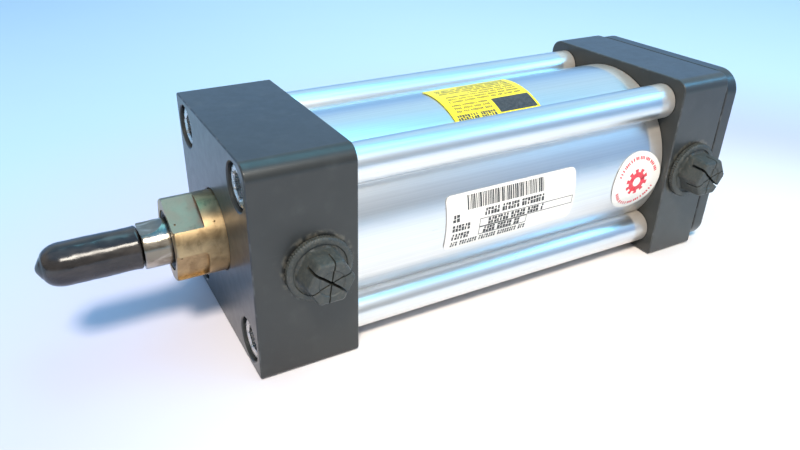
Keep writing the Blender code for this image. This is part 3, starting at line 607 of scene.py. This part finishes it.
def pilot(start, direction):
    """Spigot that centres a block in the tube, with its O-ring groove."""
    rim = BORE_R - FIT
    steps = [(-0.002, 0), (-0.002, rim), *notch(0.0010, 0.0033, rim, BORE_R - 0.0023),
             (PILOT, rim, 0.0005), (PILOT, 0)]
    profile = [(start + direction * x, *rest) for x, *rest in steps]
    return solid("tool_pilot", lathe(soften(profile, 0), 96))


def build_block(node, start, end, radii, spigot, tools, port_x, chamber, look):
    """Head or cap: a rounded block with a spigot, cut by the tools, its port and needle hole."""
    block = solid(f"{node}_block", bar(rounded_square(HALF, radii), start, end, EDGE))
    carve(block, [spigot], "UNION")
    carve(block, tools + [port_tool(port_x, chamber), needle_tool(port_x, chamber)])
    adopt(block, "barrel", "anodised_black", look, node)


def build_head():
    out, back, sunk = FACE_X - PAST, HEAD_END + PILOT + PAST, GLAND_END + 0.0005
    wide = GLAND_R + FIT
    seal = HEAD_END - 0.0045
    bore = [(out, 0), (out, wide + CHAMFER + PAST), (FACE_X + CHAMFER, wide), (sunk, wide),
            (sunk, CUSHION_R), *notch(seal, seal + CUSHION_SEAL_WIDTH, CUSHION_R, 0.0145),
            (back, CUSHION_R), (back, 0)]
    seat = SCREW_TOP + SCREW_HEAD + FIT
    hole = [(out, 0), (out, SCREW_BORE_R + CHAMFER + PAST), (FACE_X + CHAMFER, SCREW_BORE_R),
            (seat, SCREW_BORE_R), (seat, SCREW_HOLE_R), (HEAD_END + PAST, SCREW_HOLE_R),
            (HEAD_END + PAST, 0)]
    build_block("head", FACE_X, HEAD_END, (0.0012, 0.0055, 0.0012, 0.0012), pilot(HEAD_END, 1),
                [solid("tool_bore", lathe(bore)), *corner_tools(hole, 72)], HEAD_PORT_X,
                CUSHION_R, BLACK_HEAD)


def build_cap():
    front, seal, floor = CAP_START - PILOT - PAST, CAP_START - 0.0015, CAP_END - 0.006
    bore = [(front, 0), (front, CAP_CUSHION_R),
            *notch(seal, seal + CUSHION_SEAL_WIDTH, CAP_CUSHION_R, 0.0127),
            (floor, CAP_CUSHION_R), (floor, 0)]
    hole = plain_hole(CAP_START - PAST, CAP_END + PAST, SCREW_HOLE_R)
    build_block("cap", CAP_START, CAP_END, (0.005, 0.005, 0.0012, 0.0012), pilot(CAP_START, -1),
                [solid("tool_bore", lathe(bore, 96)), *corner_tools(hole, 48)], CAP_PORT_X,
                CAP_CUSHION_R, BLACK_CAP)


# ---- body
def extrusion_outline():
    """Round tube with a round lobe on each diagonal, as one outline."""
    away = SCREW_AT * sqrt(2)
    along = (TUBE_R ** 2 - LOBE_R ** 2 + away ** 2) / (2 * away)
    tube_half, lobe_half = acos(along / TUBE_R), acos((along - away) / LOBE_R)
    outline = []
    for quarter in range(4):
        middle = pi / 4 + quarter * pi / 2
        center = (away * cos(middle), away * sin(middle))
        outline += arc(center, LOBE_R, middle - lobe_half, middle + lobe_half, 32)
        outline += arc((0, 0), TUBE_R, middle + tube_half, middle + pi / 2 - tube_half, 32)[1:-1]
    return outline


def build_body():
    body = solid("profile_tube", bar(extrusion_outline(), TUBE_START, TUBE_END))
    bore = plain_hole(TUBE_START - PAST, TUBE_END + PAST, BORE_R)
    tools = [solid("tool_bore", lathe(bore, 192))]
    for low, high in ((TUBE_START - PAST, TUBE_START + SCREW_HOLE_DEPTH),
                      (TUBE_END - SCREW_HOLE_DEPTH, TUBE_END + PAST)):
        tools += corner_tools(plain_hole(low, high, SCREW_HOLE_R), 40)
    carve(body, tools)
    adopt(body, "barrel", "anodised_clear", TUBE, "body_extrusion")


# ---- screws
def screw_profile(length):
    """Socket-head cap screw along +X, its head's top at x = 0, with a knurled head."""
    knurl = ribbed(SCREW_HEAD_R, 0.00016, 48)
    rim = SCREW_HEAD_R - 0.00012
    base, tip = SCREW_HEAD, SCREW_HEAD + length
    return [(0.0044, 0), (0.0036, hexagon(SCREW_SOCKET)), (0.00045, hexagon(SCREW_SOCKET)),
            (0, SCREW_SOCKET + 0.0009), (0, SCREW_HEAD_R - 0.0010),
            (0.00012, SCREW_HEAD_R - 0.0006), (0.0004, SCREW_HEAD_R - 0.00025), (0.0009, rim),
            (0.0011, knurl), (base - 0.0012, knurl), (base - 0.0010, rim),
            (base - 0.0002, rim - 0.00002), (base, SCREW_HEAD_R - 0.0004), (base, SCREW_R),
            (tip - 0.001, SCREW_R), (tip, SCREW_R - 0.001), (tip, 0)]


def flat_screw_profile(length):
    """Countersunk socket screw along +X, its head's flat face at x = 0."""
    depth, socket = FLAT_SOCKET_DEPTH, hexagon(FLAT_SOCKET)
    return [(depth + 0.0006, 0), (depth, socket), (0.0003, socket), (0, FLAT_SOCKET + 0.0007),
            (0, FLAT_HEAD_R - 0.0004), (0.0001, FLAT_HEAD_R - 0.00015), (0.0003, FLAT_HEAD_R),
            (0.0006, FLAT_HEAD_R), (FLAT_HEAD, SCREW_R), (length - 0.001, SCREW_R),
            (length, SCREW_R - 0.001), (length, 0)]


def build_screws():
    for n, y, z in corners():
        low, high = ends(f"head_screw_{n}", X)
        shape = lathe(screw_profile(high - low - SCREW_HEAD), 192)
        made = solid(f"head_cap_screw_{n}", shape, (low, y, AXIS_Z + z), 0, radians(17 * n))
        adopt(made, "barrel", "zinc_steel", ZINC, f"head_screw_{n}", sharp=38)
        low, high = ends(f"cap_screw_{n}", X)
        shape = lathe(flat_screw_profile(high - low), 96)
        made = solid(f"clevis_flat_screw_{n}", shape, (high, y, AXIS_Z + z), pi, radians(23 * n))
        adopt(made, "barrel", "zinc_steel", ZINC, f"cap_screw_{n}", sharp=38)


# ---- gland and wiper
def across(angle, distance, side=0.0):
    """(y, z) of a point at a distance along a direction from +Z to -Y, and to its side."""
    return (-distance * sin(angle) - side * cos(angle), distance * cos(angle) - side * sin(angle))


def flat_tool(name, angle, outline):
    """Cutter above a flat of the gland: outline points are (x, side), rounded by the mill."""
    points = soften([(x, side + 1.0, *more) for x, side, *more in outline], 0, 6)
    loops = [[(x, *across(angle, height, side - 1.0)) for x, side in points]
             for height in (GLAND_FLAT, GLAND_FLAT + 0.006)]
    return solid(name, loft(loops))


def build_gland():
    groove, half = GLAND_END - 0.0026, 0.00115
    run = ROD_R + FIT
    seal = FACE_X - 0.005
    lip_end = GLAND_FRONT + WIPER_DEPTH
    profile = [(GLAND_FRONT, WIPER_R), (GLAND_FRONT, GLAND_R, 0.0008),
               *notch(groove - half, groove + half, GLAND_R, 0.0122), (GLAND_END, GLAND_R),
               (GLAND_END, run), *notch(seal + 0.0042, seal, run, 0.0112), (lip_end, run),
               (lip_end, WIPER_R)]
    gland = solid("rod_gland_bronze", lathe(soften(profile, 0.0001), 192))
    front, end = GLAND_FRONT - PAST, FACE_X - GLAND_FLAT_END
    tools = []
    for side in range(4):
        reach, turned = ((0.012, 0), (0.0060, 0.0022))[side % 2]
        outline = [(front, -reach), (end, -reach, turned), (end, reach, turned), (front, reach)]
        tools.append(flat_tool(f"tool_flat_{side}", GLAND_TURN + side * pi / 2, outline))
    marks = ((GLAND_FRONT + 0.0016, 0, GLAND_FLAT, 0.0040),
             (GLAND_FRONT + 0.0016, 90, GLAND_FLAT, -0.0042),
             (FACE_X - 0.0030, 27, GLAND_R, 0.0), (FACE_X - 0.0030, 207, GLAND_R, 0.0))
    for n, (x, angle, distance, side) in enumerate(marks):
        y, z = across(GLAND_TURN + radians(angle), distance, side)
        punch = lathe([(-0.0004, 0), (0, 0.00045), (0.0004, 0)], 16)
        tools.append(solid(f"tool_mark_{n}", punch, (x, y, AXIS_Z + z)))
    carve(gland, tools)
    adopt(gland, "barrel", "bronze", (BRONZE, MILLED_BRONZE), "rod_gland", sharp=25)
    for face in gland.data.polygons:
        y, z = face.normal.y, face.normal.z
        center_y, center_z = face.center.y, face.center.z - AXIS_Z
        level = center_y * y + center_z * z
        milled = hypot(center_y, center_z) < GLAND_R - 0.0002
        if abs(level - GLAND_FLAT) < 0.00003 and milled \
                and abs(cos(atan2(-y, z) - GLAND_TURN)) > 0.9:
            face.material_index = 1

    outer, inner = WIPER_R - FIT, run + 0.0009
    wiper = [(GLAND_FRONT + FIT, inner), (GLAND_FRONT + FIT, outer), (lip_end - FIT, outer),
             (lip_end - FIT, inner), (GLAND_FRONT + 0.0012, run)]
    made = solid("rod_wiper_lip", lathe(soften(wiper, 0.0002), 96))
    adopt(made, "barrel", "urethane", NITRILE, "rod_wiper")


# ---- rod and its protector
def helix_thread(name, start, end, crest, root, pitch):
    """Closed helical ridge round X that fades in and out at its ends."""
    per_turn = 36
    count = int((end - start) / pitch * per_turn)
    section = ((-0.47, 0), (-0.07, 1), (0.07, 1), (0.47, 0))
    loops = []
    for step in range(count + 1):
        angle = tau * step / per_turn
        x = start + (end - start) * step / count
        fade = min(1.0, step / per_turn, (count - step) / (0.6 * per_turn))
        loop = []
        for shift, rise in section:
            r = root + (crest - root) * rise * fade
            loop.append((x + shift * pitch, -r * sin(angle), r * cos(angle)))
        loops.append(loop)
    return solid(name, loft(loops))


def build_rod():
    root = STUD_R - 0.00078
    profile = [(STUD_TIP, 0), (STUD_TIP, root, 0.0006), (SHOULDER_X, root),
               (SHOULDER_X, ROD_R, 0.0007), (ROD_STEP_X, ROD_R), (ROD_STEP_X, REAR_STUD_R),
               (REAR_STUD_END, REAR_STUD_R, 0.0008), (REAR_STUD_END, 0)]
    rod = solid("chromed_rod", lathe(soften(profile, 0.0003)))
    mill_r = 0.011
    low, high = SHOULDER_X - 0.0002, SHOULDER_X + ROD_FLAT_LENGTH
    run_out = high - mill_r * sin(acos(1 - (ROD_R - ROD_FLAT) / mill_r))
    tools = []
    for side in (1, -1):
        top = ROD_R + 0.002
        curve_end = acos(1 - (top - ROD_FLAT) / mill_r)
        rise = arc((run_out, ROD_FLAT + mill_r), mill_r, -pi / 2, -pi / 2 + curve_end, 8)
        outline = [(low, ROD_FLAT)] + rise + [(low, top)]
        if side < 0:
            outline = [(x, -z) for x, z in reversed(outline)]
        tools.append(solid(f"tool_flat_{side}", bar(outline, -0.012, 0.012, along="Y")))
    carve(rod, tools)
    thread = helix_thread("tool_thread", STUD_TIP + 0.0008, SHOULDER_X - 0.0020, STUD_R - 0.00001,
                          root - 0.00015, THREAD_PITCH)
    join(rod, thread)
    adopt(rod, "rod", "chrome", CHROME, "piston_rod", sharp=25)


def build_protector():
    """Dipped vinyl cap: an even skin with a blunt nose, a drip at its tip and a rolled mouth."""
    low, high, outer_r = PROTECTOR_TIP, PROTECTOR_END, PROTECTOR_R
    nose, inner, bottom = 0.0066, STUD_R + FIT, STUD_TIP - 0.001
    drip, mouth = low + 0.0016, high - 0.0016
    profile = [(low, 0), (low, 0.0006), (low + 0.0003, 0.0013), (low + 0.0009, 0.0023),
               (low + 0.0015, 0.0033)]
    for step in range(2, 13):
        turn = pi / 2 * step / 12
        profile.append((drip + nose * (1 - cos(turn)), 0.0024 + (outer_r - 0.0026) * sin(turn)))
    for step in range(1, 24):
        t = step / 24
        swell = 0.0001 * sin(pi * t) ** 2
        profile.append((drip + nose + (mouth - drip - nose) * t, outer_r - 0.0002 + swell))
    profile += [(high - 0.0012, outer_r - 0.00005), (high - 0.0006, outer_r),
                (high - 0.0002, outer_r - 0.0002), (high, outer_r - 0.0006), (high, inner + 0.0001),
                (high - 0.0004, inner), (bottom, inner), (bottom - 0.002, inner - 0.002),
                (bottom - 0.002, 0)]
    shape = lathe(profile, 96)
    for vert in shape.verts:
        away = Vector((0, vert.co.y, vert.co.z))
        if away.length > inner + 0.0008 or (vert.co.x < bottom - 0.003 and away.length > 0.001):
            swing = noise.noise(vert.co * 210) * 0.00016 + noise.noise(vert.co * 620) * 0.00004
            swing = abs(swing) if away.length > outer_r - 0.0004 else -swing
            vert.co -= away.normalized() * swing
    made = solid("vinyl_protector", shape)
    adopt(made, "protector", "black_vinyl", VINYL, "thread_protector", sharp=50)


# ---- port plugs and needles
def build_plug(side, x):
    """Moulded plug: threaded stem, ribbed flange, and a six-sided grip split by three slots."""
    seat = HALF + FIT
    flange, top = seat + PLUG_FLANGE, PLUG_TOP
    stem = PORT_ROOT - FIT
    rim = ribbed(PLUG_R, 0.00032, 72)

    def grip(less):
        flats = hexagon(PLUG_GRIP_R * 0.9 - less)
        return lambda angle: min(flats(angle), PLUG_GRIP_R - less)

    profile = [(HALF - 0.012, 0), (HALF - 0.012, stem - 0.0012), (HALF - 0.0112, stem - 0.0004)]
    for turn in range(6):
        low = HALF - 0.0112 + turn * PORT_PITCH
        profile += [(low, stem - 0.0006), (low + PORT_PITCH * 0.4, stem),
                    (low + PORT_PITCH * 0.6, stem)]
    profile += [(HALF - 0.0024, stem - 0.0006), (seat, stem - 0.0003), (seat, PLUG_R - 0.0009),
                (seat + 0.0003, rim), (flange - 0.0006, rim), (flange - 0.0001, PLUG_R - 0.0008),
                (flange, PLUG_R - 0.0012), (flange, PLUG_GRIP_R + 0.0010),
                (flange - 0.0005, PLUG_GRIP_R + 0.0007), (flange - 0.0005, PLUG_GRIP_R + 0.0002),
                (flange, grip(0)), (top - 0.0012, grip(0.0003)), (top - 0.0004, grip(0.0006)),
                (top, grip(0.0012)), (top, 0.0046), (top - 0.0004, 0.0042), (top - 0.0004, 0)]
    plug = solid(f"{side}_plug_moulding", lathe(profile, 288), (x, 0, AXIS_Z), OUT_PORT_SIDE)
    tools = []
    for slot in range(3):
        half = 0.00045 if slot == 0 else 0.00026
        outline = [(-half, -0.012), (half, -0.012), (half, 0.012), (-half, 0.012)]
        shape = bar(outline, flange + 0.0030, top + PAST)
        turn = PLUG_SLOT_ROLL + slot * pi / 3
        tools.append(solid(f"tool_slot_{slot}", shape, (x, 0, AXIS_Z), OUT_PORT_SIDE, turn))
    carve(plug, tools)
    adopt(plug, f"{side}_plug", "black_plastic", PLUG_PLASTIC, f"{side}_port_plug", sharp=30)


def build_needle(side, x):
    """Cushion adjusting needle with a hexagon socket and its O-ring groove."""
    top, ring, tip = NEEDLE_TOP, HALF - 0.0052, 0.0218
    socket = hexagon(0.0012)
    profile = [(tip - 0.0050, 0), (tip - 0.0050, 0.0006), (tip, 0.0009), (tip, NEEDLE_R - 0.0010),
               (tip + 0.0010, NEEDLE_R),
               *notch(ring - 0.0010, ring + 0.0010, NEEDLE_R, NEEDLE_R - 0.0012),
               (top - 0.0005, NEEDLE_R), (top - 0.0001, NEEDLE_R - 0.0003),
               (top, NEEDLE_R - 0.0006), (top, 0.0016), (top - 0.0003, socket),
               (top - 0.0022, socket), (top - 0.0028, 0)]
    made = solid(f"{side}_needle_screw", lathe(profile, 72), (x, 0, AXIS_Z), OUT_FAR_SIDE)
    adopt(made, f"{side}_needle", "zinc_steel", ZINC, f"{side}_cushion_needle")


# ---- clevis
def build_clevis():
    plate = rounded_square(HALF, [PLATE_CORNER] * 4, 14)
    bracket = solid("clevis_mount", bar(plate, PLATE_START, PLATE_END, EDGE))
    outside = CLEVIS_GAP / 2 + CLEVIS_EAR
    eye = arc((PIN_X, 0), CLEVIS_ROUND, radians(-80), radians(80), 28)
    outline = [(PLATE_END - 0.002, EAR_ROOT), (PLATE_END - 0.002, -EAR_ROOT)] + eye
    for near, far in ((-outside, -CLEVIS_GAP / 2), (CLEVIS_GAP / 2, outside)):
        carve(bracket, [solid("tool_ear", bar(outline, near, far, 0.0008, "Z"))], "UNION")
    top, back, sunk = CAP_SCREW_TOP, PLATE_START - PAST, FLAT_HEAD_R + FIT
    hole = [(back, 0), (back, SCREW_HOLE_R), (top - FLAT_HEAD, SCREW_HOLE_R),
            (top - 0.0006, sunk), (PLATE_END - 0.0001, sunk), (PLATE_END + PAST, sunk + PAST),
            (PLATE_END + PAST, 0)]
    mouth, bore_r = outside + PAST, PIN_R + FIT
    bore = [(-mouth, 0), (-mouth, bore_r + 0.0016), (-outside + 0.0006, bore_r),
            (outside - 0.0006, bore_r), (mouth, bore_r + 0.0016), (mouth, 0)]
    pin_bore = solid("tool_pin_bore", lathe(bore, 96), (PIN_X, 0, AXIS_Z), pitch=-pi / 2)
    carve(bracket, [*corner_tools(hole, 72), pin_bore])
    adopt(bracket, "barrel", "anodised_black", BLACK_PLATE, "clevis_bracket")

    groove_at, groove = outside + 0.0004, PIN_R - 0.0009
    half = [(PIN_END, 0), (PIN_END, PIN_R - 0.0010), (PIN_END - 0.0003, PIN_R - 0.0004),
            (PIN_END - 0.0010, PIN_R), *notch(groove_at + 0.0013, groove_at, PIN_R, groove)]
    profile = half + [(-x, r) for x, r in reversed(half)]
    pin = solid("clevis_cross_pin", lathe(profile, 96), (PIN_X, 0, AXIS_Z), pitch=-pi / 2)
    adopt(pin, "clevis_pin_set", "zinc_steel", ZINC, "clevis_pin")
    for name, pitch in (("pin_ring_top", -pi / 2), ("pin_ring_bottom", pi / 2)):
        build_pin_ring(name, pitch, groove_at + FIT / 2, groove + FIT)


def build_pin_ring(node, pitch, start, inner):
    """Open retaining ring: wide at its back, with three inner lugs and two ear ends."""
    mouth, steps = radians(24), 72
    angles = [mouth + (tau - 2 * mouth) * step / steps for step in range(steps + 1)]
    rims = [(PIN_RING_R, angle) for angle in angles]
    for angle in reversed(angles):
        lug = max(0.0, cos(3 * (angle - pi))) ** 6
        rims.append((inner + 0.0011 * (1 - lug), angle))
    outline = [(r * cos(angle), r * sin(angle)) for r, angle in rims]
    shape = bar(outline, start, start + 0.0010, 0.00012, steps=2)
    made = solid(f"{node}_clip", shape, (PIN_X, 0, AXIS_Z), roll=pi / 2, pitch=pitch)
    adopt(made, "clevis_pin_set", "dark_steel", DARK_STEEL, node)


# ---- labels
def wrap(x, angle, radius):
    return (x, -radius * sin(angle), radius * cos(angle))


def skin(stations, inner, outer, shape=None):
    """Closed thin skin round the tube: stations of (angle from +Z to -Y, lowest x, highest x)."""
    loops = []
    for angle, low, high in stations:
        spots = ((low, inner), (high, inner), (high, outer), (low, outer))
        loops.append([wrap(x, angle, radius) for x, radius in spots])
    return loft(loops, shape)


def film(node, stations, finish, look):
    """Film of a label that stands for a CAD node."""
    made = solid(f"{node}_film", skin(stations, LABEL_IN, LABEL_OUT))
    adopt(made, "barrel", finish, look, node)


def card(low_x, high_x, top, bottom, corner):
    """Stations of a label with rounded corners; top and bottom are angles."""
    turn = corner / LABEL_OUT
    insets = [(1 - sin(t), 1 - cos(t)) for t in (pi / 2 * s / 6 for s in range(6))]
    first = [(top + turn * down, low_x + corner * side, high_x - corner * side)
             for side, down in insets]
    last = [(top + bottom - angle, low, high) for angle, low, high in reversed(first)]
    count = max(2, ceil((bottom - top) / radians(2)))
    span = bottom - top - 2 * turn
    middle = [(top + turn + span * s / count, low_x, high_x) for s in range(count + 1)]
    return first + middle + last


def print_marks(name, marks, look, finish):
    """One mesh of thin printed marks on a label: each is (x0, x1, angle0, angle1)."""
    shape = bmesh.new()
    for x0, x1, first, last in marks:
        count = max(1, ceil((last - first) / radians(2.5)))
        stations = [(first + (last - first) * step / count, x0, x1) for step in range(count + 1)]
        skin(stations, LABEL_OUT, LABEL_OUT + INK, shape)
    adopt(solid(name, shape), "barrel", finish, look)


class Sheet:
    """Film label with printed marks, placed by fractions of its width and height."""

    def __init__(self, node, top, bottom, corner, finish, look, seed, flipped=False):
        self.low_x, self.high_x = ends(node, X)
        self.node, self.finish = node, finish
        self.top, self.bottom = radians(top), radians(bottom)
        self.dice = random.Random(seed)
        self.flipped = flipped
        self.marks = []
        film(node, card(self.low_x, self.high_x, self.top, self.bottom, corner), finish, look)

    def mark(self, u0, u1, v0, v1):
        if self.flipped:
            u0, u1, v0, v1 = 1 - u1, 1 - u0, 1 - v1, 1 - v0
        wide, tall = self.high_x - self.low_x, self.bottom - self.top
        self.marks.append((self.low_x + wide * u0, self.low_x + wide * u1,
                           self.top + tall * v0, self.top + tall * v1))

    def row(self, u0, u1, v, height, step, bold):
        """A row of small split blocks in groups, which stands for a line of print."""
        choice, count = self.dice.choice, self.dice.randint
        u, left = u0, count(3, 7)
        wide, gap = step * bold, height * 0.09 / 2
        while u + wide <= u1:
            if left == 0:
                left = count(3, 8)
                u += step * 0.8
                continue
            split = v + height * choice((0.34, 0.44, 0.56))
            self.mark(u + wide * choice((0, 0, 0.3)), u + wide, v, split - gap)
            self.mark(u, u + wide - wide * choice((0, 0, 0.3)), split + gap, v + height)
            u += step
            left -= 1

    def frame(self, u0, u1, v0, v1, line=0.004, thick=0.012):
        self.mark(u0, u1, v0, v0 + thick)
        self.mark(u0, u1, v1 - thick, v1)
        self.mark(u0, u0 + line, v0 + thick, v1 - thick)
        self.mark(u1 - line, u1, v0 + thick, v1 - thick)

    def bars(self, u0, u1, v0, v1, module=0.0034):
        """Upright bars of random widths."""
        u = u0
        while u < u1:
            wide = module * self.dice.choice((1, 2, 3, 4))
            self.mark(u, min(u + wide, u1), v0, v1)
            u += wide + module * self.dice.choice((1, 1, 2, 2))

    def printed(self):
        print_marks(f"{self.node}_print", self.marks, BLACK_INK, self.finish)


def build_data_label():
    sheet = Sheet("data_label", 71.7, 107.0, 0.0022, "label_white", WHITE_FILM, 5)
    sheet.bars(0.15, 0.74, 0.05, 0.30)
    for row in ((0.28, 0.76, 0.345, 0.13, 0.0225, 0.84), (0.045, 0.10, 0.345, 0.13, 0.027, 0.78),
                (0.045, 0.21, 0.53, 0.12, 0.022, 0.78), (0.31, 0.76, 0.535, 0.12, 0.0225, 0.84),
                (0.045, 0.21, 0.695, 0.12, 0.022, 0.78), (0.28, 0.56, 0.695, 0.12, 0.0225, 0.84),
                (0.045, 0.62, 0.86, 0.095, 0.0185, 0.72)):
        sheet.row(*row)
    sheet.frame(0.245, 0.985, 0.515, 0.675)
    sheet.frame(0.245, 0.615, 0.675, 0.83)
    sheet.printed()


def build_caution_label():
    sheet = Sheet("caution_label", -11.0, 31.0, 0.0008, "label_yellow", YELLOW_FILM, 11, True)
    sheet.mark(0.025, 0.47, 0.06, 0.36)
    sheet.row(0.52, 0.97, 0.04, 0.10, 0.030, 0.78)
    for line in range(3):
        sheet.row(0.52, 0.94, 0.185 + line * 0.068, 0.042, 0.021, 0.72)
    for line in range(8):
        end = 0.93 if line % 4 < 3 else 0.62
        sheet.row(0.07, end, 0.415 + line * 0.068, 0.042, 0.021, 0.72)
    sheet.printed()


def build_round_sticker():
    """White disc with a plain toothed wheel in red and short dashes round its rim."""
    middle_x, radius = middle("round_sticker", X)
    center, steps = radians(93), 40
    stations = []
    for step in range(steps + 1):
        height = -cos(pi * (step + 0.25) / (steps + 0.5))
        half = radius * sqrt(1 - height ** 2)
        stations.append((center + radius / TUBE_R * height, middle_x - half, middle_x + half))
    film("round_sticker", stations, "label_white", WHITE_FILM)
    shape = bmesh.new()

    def ring_patch(inner, outer, start, wide, count=1):
        for step in range(count):
            a, b = start + wide * step / count, start + wide * (step + 1) / count
            outline = [(r * cos(t), r * sin(t))
                       for r, t in ((inner, a), (outer, a), (outer, b), (inner, b))]
            loft([[wrap(middle_x + x, center + y / TUBE_R, radius) for x, y in outline]
                  for radius in (LABEL_OUT, LABEL_OUT + INK)], shape)

    tooth = tau / 10
    for n in range(10):
        ring_patch(0.0020, 0.0042, n * tooth, tooth, 3)
        ring_patch(0.0042, 0.0056, n * tooth, tooth * 0.52, 2)
    dice = random.Random(3)
    for start, end in ((radians(200), radians(340)), (radians(20), radians(160))):
        angle = start
        while angle < end:
            wide = radians(dice.uniform(2.6, 4.2))
            ring_patch(0.0094, 0.0107, angle, wide)
            angle += wide + radians(dice.choice((1.6, 1.6, 4.5)))
    adopt(solid("round_sticker_print", shape), "barrel", "label_white", RED_INK)


# ---- pieces kept from the CAD
def dress_cad_nodes():
    """Give the CAD pieces that stay their materials."""
    looks = {"piston": ALUMINIUM, "piston_wear_ring": ACETAL, "head_cushion_seal": URETHANE,
             "cap_cushion_seal": URETHANE, "front_cushion_sleeve": DARK_STEEL,
             "rear_cushion_spear": DARK_STEEL}
    for name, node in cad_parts.items():
        if node.hide_render:
            continue
        for place in node.material_slots:
            place.link = "OBJECT"
            place.material = looks.get(name, NITRILE)


# ---- floor, light and camera
def build_stage():
    """Pale floor with a painted pool of light: whitest beside the rod and bluer away from it."""
    shape = bmesh.new()
    bmesh.ops.create_circle(shape, cap_ends=True, segments=96, radius=9.0)
    floor = solid("floor", shape, (0, 0, 0))
    floor.location.z = -FIT
    look = Look("pale_floor", (0.9, 0.9, 0.9), 0.6)
    # Painted light and shade: the floor's colour is whitest round a point in front of the rod,
    # darker and lavender round it, bluer further away and bluest to the left, where the light falls
    # off.
    away = look.vector("DISTANCE", look.where, Vector((0.14, -0.10, 0.0)))
    look.mottle(look.curve(away, 0.12, 0.25), (0.76, 0.75, 0.77), (0.50, 0.50, 0.66))
    far = look.mix(look.curve(look.along(X), -0.10, 0.35), (0.42, 0.57, 0.73), (0.54, 0.69, 0.80))
    look.over(far, look.curve(away, 0.21, 0.40))
    look.over((0.80, 0.84, 0.88), 0.04, look.grain(14, 3))
    look.set("Base Color", look.tone)
    floor.data.materials.append(look.material)


def area_light(name, at, size, power, color, lights=True, shines=True):
    """Rectangular lamp; it can be left out of the diffuse light or out of the highlights."""
    data = bpy.data.lights.new(name, "AREA")
    data.shape = "RECTANGLE"
    data.size, data.size_y = size
    data.energy, data.color = power, color
    made = bpy.data.objects.new(name, data)
    made.location = at
    aim = Vector((0.07, 0.0, 0.04)) - Vector(at)
    made.rotation_euler = aim.to_track_quat("-Z", "Y").to_euler()
    made.visible_diffuse, made.visible_glossy = lights, shines
    bpy.context.scene.collection.objects.link(made)


def build_world():
    """Open sky on one side, a dim room on the other, and a plain backdrop for the camera."""
    world = bpy.data.worlds.new("studio")
    world.use_nodes = True
    tree = world.node_tree
    where = add_node(tree, "TexCoord").outputs["Generated"]
    height = add_node(tree, "SeparateXYZ", {0: where}).outputs["Z"]

    def ramp(*stops):
        made = add_node(tree, "ValToRGB", {0: height})
        made.color_ramp.interpolation = "EASE"
        points = made.color_ramp.elements
        while len(points) < len(stops):
            points.new(0.5)
        for point, (place, color) in zip(points, stops):
            point.position = place
            point.color = (*color, 1)
        return made.outputs[0]

    open_side = ramp((0.0, (0.16, 0.36, 0.72)), (0.34, (0.30, 0.57, 0.97)),
                     (0.47, (0.50, 0.72, 0.98)), (0.60, (0.60, 0.84, 1.0)),
                     (1.0, (0.14, 0.56, 0.96)))
    room_side = ramp((0.0, (0.30, 0.30, 0.28)), (0.35, (0.50, 0.49, 0.47)),
                     (0.58, (0.50, 0.51, 0.51)), (0.88, (0.14, 0.46, 0.84)))
    open_way = Vector((0.75, 0.62, 0.0)).normalized()
    aim = add_node(tree, "VectorMath", {0: where, 1: open_way}, operation="DOT_PRODUCT")
    side = add_node(tree, "MapRange", {"Value": aim.outputs["Value"], "From Min": -0.26,
                                       "From Max": 0.22}, interpolation_type="SMOOTHSTEP")
    sky = add_node(tree, "Mix", {0: side.outputs[0], 6: room_side, 7: open_side},
                   data_type="RGBA").outputs[2]
    lit = add_node(tree, "Background", {"Color": sky, "Strength": 1.1}).outputs[0]
    backdrop = add_node(tree, "Background", {"Color": (0.50, 0.72, 0.90, 1)}).outputs[0]
    seen = add_node(tree, "LightPath").outputs["Is Camera Ray"]
    either = add_node(tree, "MixShader", {0: seen, 1: lit, 2: backdrop}).outputs[0]
    tree.links.new(either, tree.nodes["World Output"].inputs[0])
    bpy.context.scene.world = world


def build_lights():
    area_light("key", (-0.28, -0.63, 1.08), (0.24, 0.24), 22.5, (1.0, 0.86, 0.69), shines=False)
    area_light("sheen", (-0.02, -0.80, 0.98), (0.42, 0.30), 10.0, (1.0, 0.92, 0.80), lights=False)
    area_light("window", (1.05, -0.48, 0.86), (0.5, 0.4), 4.5, (0.12, 0.56, 1.0), lights=False)
    area_light("overhead", (0.38, 0.15, 1.35), (1.2, 0.45), 4.6, (0.30, 0.82, 1.0))


def build_camera():
    data = bpy.data.cameras.new("camera")
    data.lens, data.sensor_width = 31.08, 36.0
    data.shift_x, data.shift_y = 0.0410, -0.0063
    data.clip_start = 0.01
    camera = bpy.data.objects.new("camera", data)
    view = Vector((0.40508, 0.78090, -0.47550)).normalized()
    right = Vector((0.88853, -0.45881, 0.00344)).normalized()
    up = right.cross(view)
    turn = Matrix((right, up, -view)).transposed().to_4x4()
    camera.matrix_world = Matrix.Translation((-0.06775, -0.20917, 0.15470)) @ turn
    bpy.context.scene.collection.objects.link(camera)
    bpy.context.scene.camera = camera


build_camera()
build_head()
build_cap()
build_body()
build_screws()
build_gland()
build_rod()
build_protector()
for build in (build_plug, build_needle):
    build("head", HEAD_PORT_X)
    build("cap", CAP_PORT_X)
build_clevis()
build_data_label()
build_caution_label()
build_round_sticker()
dress_cad_nodes()
build_stage()
build_world()
build_lights()
bpy.context.scene.view_settings.view_transform = "Standard"
